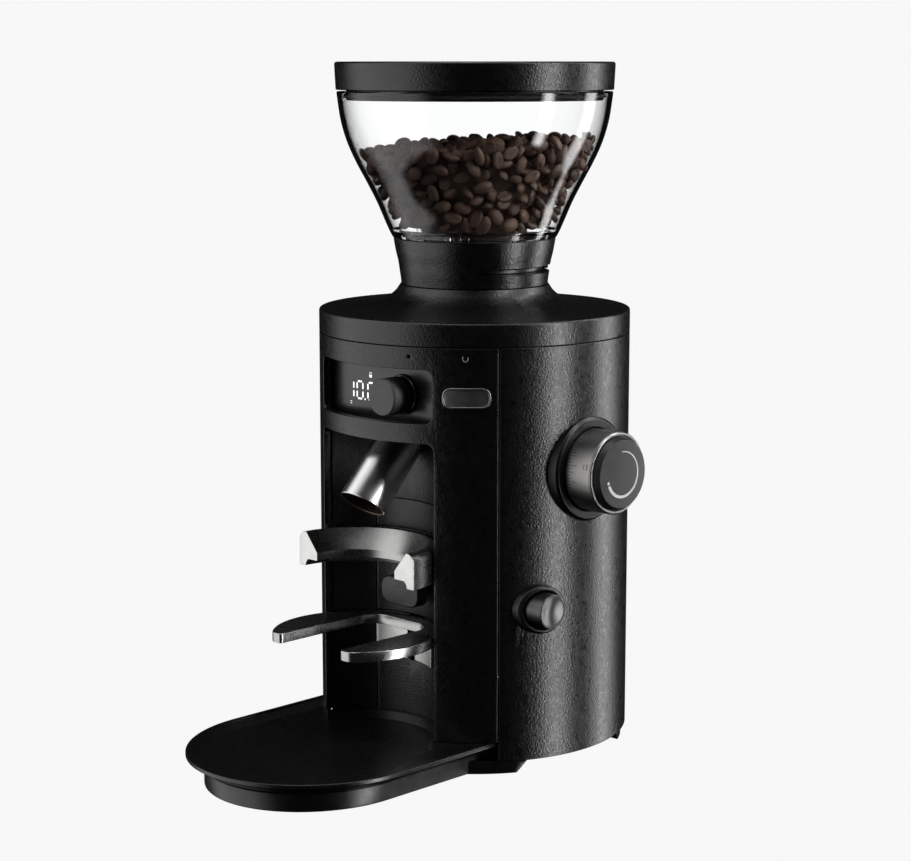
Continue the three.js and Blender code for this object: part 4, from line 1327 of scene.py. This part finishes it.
def build_bowl():
    wall = 3.0
    outside = smooth_line(BOWL_SIDE, 6)
    inside = [(r - wall, z) for r, z in outside if z > 316.5]
    rim = [(82.9, 399.0), (80.7, 399.0)]
    ledge = [(inside[0][0], 316.4), (48.3, 315.8), (45.2, 315.8), (44.9, 313.2)]
    spigot = [(42.6, 312.6), (42.6, 304.6), (44.4, 304.6), (45.9, 311.7)]
    outline = outside + rim + inside[::-1] + ledge + spigot
    piece("clear_bowl", lathe(outline, 192), "hopper", CLEAR, ["hopper_bowl"], 50)


def build_lugs():
    """Clear bayonet lugs just under the bowl's ledge."""
    lugs = []
    for bearing in (31, 151, 271):
        for shift, wide, tall in ((-7, 3.0, 4.2), (0, 4.6, 5.4), (7, 3.0, 4.2)):
            outline = box_outline(-wide / 2, 316.4 - tall, wide / 2, 315.6, 0.6, 3)
            block = along_front(plate(outline, 42.9, 44.6, 0.3))
            lugs.append(turn(block, bearing + shift))
    piece("bowl_lugs", together(*lugs), "hopper", CLEAR)


def build_lid():
    low = 399.9
    top = LID_HIGH.z
    outline = rounded(
        [(0, top), (83.4, top), (84.6, top - 1.0), (83.8, low), (77.6, low), (77.6, LID_LOW.z),
         (75.2, LID_LOW.z), (75.2, top - 3), (0, top - 3)],
        [0, 0.8, 0.7, 0.7, 0.2, 0.5, 0.5, 0.4, 0], 5)
    piece("lid_shell", lathe(outline, 200), "lid", GRAINED_PLASTIC, ["hopper_lid"], 35)
    seal_low, seal_high = corners("lid_seal")
    ridge = rounded([(77.9, seal_low.z), (79.2, seal_low.z + 0.4), (79.2, seal_high.z - 0.4),
                     (77.9, seal_high.z)], 0.3)
    piece("lid_gasket", lathe(ridge, 160), "lid", RUBBER, ["lid_seal"])


# ---- Mains inlet ----

def build_inlet():
    low, high = corners("mains_inlet")
    shell = plate(box_outline(low.x, low.z, high.x, high.z, 2, 5), 78, high.y, 0.5,
                  [box_outline(-10.5, 27, 10.5, 43, 3, 5)])
    back = plate(box_outline(low.x, low.z, high.x, high.z, 2, 5), low.y, 78, 0.3)
    body = together(shell, back)
    reshape(body, lambda x, y, z: (x, z, y))
    bmesh.ops.recalc_face_normals(body, faces=body.faces)
    piece("inlet_body", body, "housing", SATIN, ["mains_inlet"])
    pins = []
    for x, z in ((-7, 33), (7, 33), (0, 38)):
        pin = plate(box_outline(x - 1, z - 2, x + 1, z + 2, 0.3, 3), 77.5, 92, 0.3)
        reshape(pin, lambda a, b, c: (a, c, b))
        bmesh.ops.recalc_face_normals(pin, faces=pin.faces)
        pins.append(pin)
    piece("inlet_pins", together(*pins), "housing", PLAIN_STEEL)


# ---- Coffee beans ----

BEAN_SIZE = (5.7, 4.1, 3.1)  # half length, half width, thickness of one bean
BEAN_CORE = 3.3  # radius used while the beans settle
BEAN_HALF_AXIS = 2.5  # from a bean's middle to each of its two settling points
BEAN_FLOOR = 320.5  # lowest middle of a bean, just above the bowl's clear ring


def bean_shape():
    """One bean: a half ellipsoid with a wavy crease along its flat side, at unit scale in millimetres."""
    bm = bmesh.new()
    bmesh.ops.create_uvsphere(bm, u_segments=16, v_segments=10, radius=1.0)
    length, width, thick = BEAN_SIZE
    for vert in bm.verts:
        x, y, z = vert.co.z, vert.co.x, vert.co.y
        flat = z < 0
        height = z * thick * (0.55 if flat else 1.0)
        if flat:
            height = -0.55 * thick * (abs(z) ** 0.6)
            crease = math.exp(-((y - 0.1 * math.sin(3.0 * x)) / 0.13) ** 2)
            height += crease * 1.5 * (1 - x * x) ** 0.5
        vert.co = (x * length, y * width, height + 0.2 * thick)
    bmesh.ops.recalc_face_normals(bm, faces=bm.faces)
    points = np.array([vert.co[:] for vert in bm.verts])
    bm.verts.index_update()
    faces = [[vert.index for vert in face.verts] for face in bm.faces]
    bm.free()
    return points, faces


def bowl_radius(z):
    """Inside radius of the bowl at heights z."""
    wall = [(r - 3.2, h) for r, h in BOWL_SIDE[2:]]
    profile = np.array([(43.0, 296.0), (43.0, 314.0), (48.0, 317.0), *wall])
    return np.interp(z, profile[:, 1], profile[:, 0])


def heap_height(x, y):
    """The height of the heap's top over a point."""
    r = np.hypot(x, y)
    lean = 0.045 * (x + y)
    waves = 1.8 * np.sin(x * 0.11 + 1.0) * np.cos(y * 0.13 + 0.4) + 1.2 * np.sin(y * 0.21 + x * 0.05)
    return 371.5 + lean + waves - 0.0006 * r * r


def seed_beans(rng):
    """Starting places near the bowl's wall and near the top, spread so that no two are too close."""
    picked = []
    grid = {}
    cell = 6.8
    tries = 60000
    reach = 80
    highest = 376
    off_wall = 3.6
    off_top = 3.0
    wall_layer = 5.0
    top_layer = 9.0
    xs = rng.uniform(-reach, reach, (tries, 2))
    zs = rng.uniform(BEAN_FLOOR, highest, tries)
    for (x, y), z in zip(xs, zs):
        r = math.hypot(x, y)
        limit = float(bowl_radius(z)) - off_wall
        top = float(heap_height(x, y)) - off_top
        if r > limit or z > top:
            continue
        if r < limit - wall_layer and z < top - top_layer:
            continue
        key = (int(x // cell), int(y // cell), int(z // cell))
        near = False
        for dx in (-1, 0, 1):
            for dy in (-1, 0, 1):
                for dz in (-1, 0, 1):
                    for q in grid.get((key[0] + dx, key[1] + dy, key[2] + dz), ()):
                        if (q[0] - x) ** 2 + (q[1] - y) ** 2 + (q[2] - z) ** 2 < cell * cell:
                            near = True
        if near:
            continue
        grid.setdefault(key, []).append((x, y, z))
        picked.append((x, y, z))
    return np.array(picked)


def push_apart(points, owner, reach):
    """One relaxation step: moves points of different beans apart to the given distance."""
    tree = kdtree.KDTree(len(points))
    for i, p in enumerate(points):
        tree.insert(p, i)
    tree.balance()
    shift = np.zeros_like(points)
    share = np.zeros(len(points))
    for i, p in enumerate(points):
        for q, j, distance in tree.find_range(p, reach):
            if owner[i] == owner[j] or j <= i:
                continue
            if distance < 1e-6:
                continue
            push = (np.array(p) - np.array(q)) / distance * (reach - distance) * 0.5
            shift[i] += push
            shift[j] -= push
            share[i] += 1
            share[j] += 1
    return points + shift / np.maximum(share, 1)[:, None]


def keep_inside(points, margin):
    """Moves points inside the bowl, under the heap's top and over its floor."""
    r = np.hypot(points[:, 0], points[:, 1])
    limit = bowl_radius(points[:, 2]) - margin
    scale = np.where(r > limit, limit / np.maximum(r, 1e-6), 1.0)
    points[:, 0] *= scale
    points[:, 1] *= scale
    top = heap_height(points[:, 0], points[:, 1]) - margin + 1.0
    points[:, 2] = np.minimum(points[:, 2], top)
    points[:, 2] = np.maximum(points[:, 2], BEAN_FLOOR)
    return points


def settle_beans(centres, rng):
    """Lets beans, as pairs of points at a fixed distance, press against each other and the bowl."""
    count = len(centres)
    tangent = np.stack([-centres[:, 1], centres[:, 0], np.zeros(count)], 1)
    tangent /= np.linalg.norm(tangent, axis=1)[:, None] + 1e-9
    axes = tangent * rng.uniform(-1, 1, (count, 1)) + rng.normal(0, 0.5, (count, 3))
    axes /= np.linalg.norm(axes, axis=1)[:, None]
    points = np.concatenate([centres + axes * BEAN_HALF_AXIS, centres - axes * BEAN_HALF_AXIS])
    owner = np.concatenate([np.arange(count), np.arange(count)])
    rounds = 22
    for _ in range(rounds):
        points = push_apart(points, owner, 2 * BEAN_CORE)
        points = keep_inside(points, BEAN_CORE + 0.3)
        a, b = points[:count], points[count:]
        middles = (a + b) / 2
        axes = a - b
        axes /= np.linalg.norm(axes, axis=1)[:, None] + 1e-9
        points = np.concatenate([middles + axes * BEAN_HALF_AXIS, middles - axes * BEAN_HALF_AXIS])
    return middles, axes


def build_beans():
    rng = np.random.default_rng(SEED)
    shape, faces = bean_shape()
    centres = seed_beans(rng)
    middles, axes = settle_beans(centres, rng)
    keep = np.linalg.norm(middles[:, :2], axis=1) < bowl_radius(middles[:, 2]) - 2.5
    middles, axes = middles[keep], axes[keep]
    all_points = []
    all_faces = []
    shades = []
    for middle_point, axis in zip(middles, axes):
        outward = np.array([middle_point[0], middle_point[1], 0.0])
        outward /= np.linalg.norm(outward) + 1e-9
        near_top = middle_point[2] > heap_height(middle_point[0], middle_point[1]) - 9
        facing = outward * (0.5 if near_top else 1.0) + np.array([0, 0, 1.0 if near_top else 0.25])
        facing = facing * (1 if rng.random() < 0.62 else -1) + rng.normal(0, 0.55, 3)
        up = facing - axis * facing.dot(axis)
        up /= np.linalg.norm(up) + 1e-9
        side = np.cross(up, axis)
        size = rng.uniform(0.88, 1.08)
        placed = (shape * size) @ np.stack([axis, side, up]) + middle_point
        base = len(all_points) * len(shape)
        all_points.append(placed)
        all_faces += [[index + base for index in face] for face in faces]
        shades.append(rng.uniform(0.15, 0.85))
    mesh = bpy.data.meshes.new("coffee_beans")
    mesh.from_pydata((np.concatenate(all_points) * MM).tolist(), [], all_faces)
    attribute = mesh.attributes.new("bean_shade", "FLOAT", "POINT")
    attribute.data.foreach_set("value", np.repeat(shades, len(shape)).astype(np.float32))
    beans = bpy.data.objects.new("coffee_beans", mesh)
    bpy.context.scene.collection.objects.link(beans)
    mesh.materials.append(BEAN)
    mesh.shade_smooth()
    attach(beans, "hopper")
    build_bean_core()


def build_bean_core():
    """A dark lumpy core that closes the gaps between the beans."""
    heights = np.linspace(318.5, 357, 16)
    outline = [(0, 297), (30, 297), (32, 318)] + [(float(bowl_radius(z)) - 7.5, float(z)) for z in heights]
    outline += [(40, 361), (0, 362)]
    bm = lathe(outline, 96)
    for vert in bm.verts:
        x, y, z = vert.co
        bump = 1.2 * math.sin(x * 0.9) * math.sin(y * 0.8 + 1) * math.sin(z * 0.85)
        r = math.hypot(x, y) + 1e-6
        vert.co.x += x / r * bump
        vert.co.y += y / r * bump
    piece("bean_core", bm, "hopper", BEAN)


# ---- Inner CAD pieces that stay as they are ----

KEPT = {
    "fork_nut": PLAIN_STEEL, "deck": CAST, "motor_body": CAST, "motor_shaft": PLAIN_STEEL,
    "grind_chamber": CAST,
    "lower_burr": PLAIN_STEEL, "upper_burr": PLAIN_STEEL, "lower_carrier": CAST, "upper_carrier": CAST,
    "burr_nut": PLAIN_STEEL, "adjust_ring": CAST, "transfer_shaft": PLAIN_STEEL, "gear_bracket": CAST,
    "knob_shaft": PLAIN_STEEL, "button_switch": SATIN, "display_board": GREEN, "encoder_body": CAST,
    "encoder_shaft": PLAIN_STEEL, "control_board": GREEN, "power_supply": SATIN, "bean_throat": SATIN,
    "post_1": PLAIN_STEEL, "post_2": PLAIN_STEEL, "post_3": PLAIN_STEEL, "post_4": PLAIN_STEEL,
}


def finish_kept_nodes():
    for name, material in KEPT.items():
        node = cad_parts[name]
        node.data.materials.clear()
        node.data.materials.append(material)
        node.data.shade_smooth()
        node.data.set_sharp_from_angle(angle=math.radians(30))


# ---- Stage, light and camera ----

def softbox(tree, bearing, elevation, centre_deg, half_deg, low_deg, high_deg, edge_deg, strength):
    """Light from a range of directions: 1 inside it and fading over edge_deg at its borders."""
    def fade(value, full, none):
        node = tree.nodes.new("ShaderNodeMapRange")
        node.interpolation_type = "SMOOTHSTEP"
        tree.links.new(value, node.inputs["Value"])
        node.inputs["From Min"].default_value = math.radians(full)
        node.inputs["From Max"].default_value = math.radians(none)
        node.inputs["To Min"].default_value = 1
        node.inputs["To Max"].default_value = 0
        return node.outputs["Result"]

    turned = calculate(tree, "SUBTRACT", bearing, math.radians(centre_deg))
    off_bearing = calculate(tree, "ABSOLUTE", turned)
    across = fade(off_bearing, half_deg, half_deg + edge_deg)
    middle_deg = (low_deg + high_deg) / 2
    raised = calculate(tree, "SUBTRACT", elevation, math.radians(middle_deg))
    off_elevation = calculate(tree, "ABSOLUTE", raised)
    half_tall = (high_deg - low_deg) / 2
    upright = fade(off_elevation, half_tall, half_tall + 5)
    return calculate(tree, "MULTIPLY", calculate(tree, "MULTIPLY", across, upright), strength)


SOFTBOXES = (
    # bearing, half width, lowest, highest, edge, strength
    # a wide box in front, two strips on the right and one overhead
    (-38, 24, -40, 55, 26, 1.6),
    (108, 1, -34, 60, 7, 16.0),
    (157, 3, -31, 60, 8, 6.8),
    (0, 180, 74, 100, 10, 2.2),
)
BACKDROP = 0.935
THROUGH_PLASTIC = 1.16


def seen_directly(tree, most_turns):
    """1 where a ray comes straight from the camera or through clear plastic, 0 where it lights the object.
    most_turns is 0.5 for a surface and 1.5 for the world, whose rays count one step further."""
    path = tree.nodes.new("ShaderNodeLightPath")

    looking = calculate(tree, "MAXIMUM", path.outputs["Is Camera Ray"], path.outputs["Is Transmission Ray"])
    turned = calculate(tree, "SUBTRACT", path.outputs["Ray Depth"], path.outputs["Transmission Depth"])
    return calculate(tree, "MULTIPLY", looking, calculate(tree, "LESS_THAN", turned, most_turns))


def backdrop_value(tree):
    """The pale backdrop, a little brighter behind clear plastic to make up for what the walls reflect."""
    path = tree.nodes.new("ShaderNodeLightPath")
    behind = calculate(tree, "GREATER_THAN", path.outputs["Transmission Depth"], 0.5)
    value = tree.nodes.new("ShaderNodeMapRange")
    tree.links.new(behind, value.inputs["Value"])
    value.inputs["To Min"].default_value = BACKDROP
    value.inputs["To Max"].default_value = THROUGH_PLASTIC
    return value.outputs["Result"]


def build_world():
    world = bpy.data.worlds.new("studio")
    bpy.context.scene.world = world
    world.use_nodes = True
    tree = world.node_tree
    direction = tree.nodes.new("ShaderNodeTexCoord").outputs["Generated"]
    split = tree.nodes.new("ShaderNodeSeparateXYZ")
    tree.links.new(direction, split.inputs[0])

    forwards = calculate(tree, "MULTIPLY", split.outputs[1], -1.0)
    bearing = calculate(tree, "ARCTAN2", split.outputs[0], forwards)
    elevation = calculate(tree, "ARCSINE", split.outputs[2])
    total = 0.008
    for centre, half, low, high, edge, strength in SOFTBOXES:
        box = softbox(tree, bearing, elevation, centre, half, low, high, edge, strength)
        total = calculate(tree, "ADD", box, total)
    plain = tree.nodes.new("ShaderNodeMix")
    tree.links.new(seen_directly(tree, 1.5), plain.inputs["Factor"])
    tree.links.new(total, plain.inputs[2])
    tree.links.new(backdrop_value(tree), plain.inputs[3])
    tree.links.new(plain.outputs[0], tree.nodes["Background"].inputs["Strength"])
    tree.nodes["Background"].inputs["Color"].default_value = (1, 1, 1, 1)


def build_floor():
    bm = bmesh.new()
    bmesh.ops.create_circle(bm, cap_ends=True, segments=96, radius=60000)
    bmesh.ops.scale(bm, verts=bm.verts, vec=(MM, MM, MM))
    floor = as_object(bm, "studio_floor")
    nodes = Nodes("pale_floor")
    nodes.colour_of(nodes.noise(300, 2.0), (0.001,) * 3, (0.0012,) * 3)
    nodes.roughness_of(nodes.noise(40, 2.0), 0.85, 0.95)
    nodes.set(Emission_Color=(1, 1, 1, 1), Specular_IOR_Level=0.0)
    glow = calculate(nodes.tree, "MULTIPLY", backdrop_value(nodes.tree), seen_directly(nodes.tree, 0.5))
    nodes.link(glow, nodes.shader.inputs["Emission Strength"])
    floor.data.materials.append(nodes.material)
    floor.visible_glossy = False
    floor.visible_diffuse = False


def build_camera():
    azimuth = math.radians(44.2)
    aim = azimuth + math.radians(0.496)
    dip_deg = 9.43
    distance = 1.342
    height = 0.4146
    camera_data = bpy.data.cameras.new("camera")
    camera_data.lens = 86.98
    camera_data.sensor_width = 36
    camera = bpy.data.objects.new("camera", camera_data)
    camera.location = (distance * math.sin(azimuth), -distance * math.cos(azimuth), height)
    camera.rotation_euler = (math.radians(90 - dip_deg), 0, aim)
    bpy.context.scene.collection.objects.link(camera)
    bpy.context.scene.camera = camera


def build_lights():
    """A soft lamp above. The floor only glows, so the lamp leaves no shadow on it."""
    data = bpy.data.lights.new("overhead", "AREA")
    data.shape = "DISK"
    data.size = 1.6
    data.energy = 6
    lamp_object = bpy.data.objects.new("overhead", data)
    lamp_object.location = (-0.3, -0.4, 2.2)
    direction = Vector((0, 0, 0.2)) - lamp_object.location
    lamp_object.rotation_euler = direction.to_track_quat("-Z", "Y").to_euler()
    bpy.context.scene.collection.objects.link(lamp_object)


build_camera()
build_world()
build_floor()
build_lights()
build_base()
build_feet()
build_tray()
build_panel()
build_marks()
build_shell()
build_badge()
build_liner()
build_rails()
build_upper_fork()
build_lower_fork()
build_pad()
build_spout()
build_dial_ring()
build_dial()
build_dial_arc()
build_dial_scale()
build_button()
build_display_frame()
build_display_glass()
build_digits()
build_encoder()
build_cover()
build_collar()
build_gate()
build_bowl()
build_lugs()
build_lid()
build_inlet()
build_beans()
finish_kept_nodes()

scene = bpy.context.scene
scene.view_settings.view_transform = "Standard"
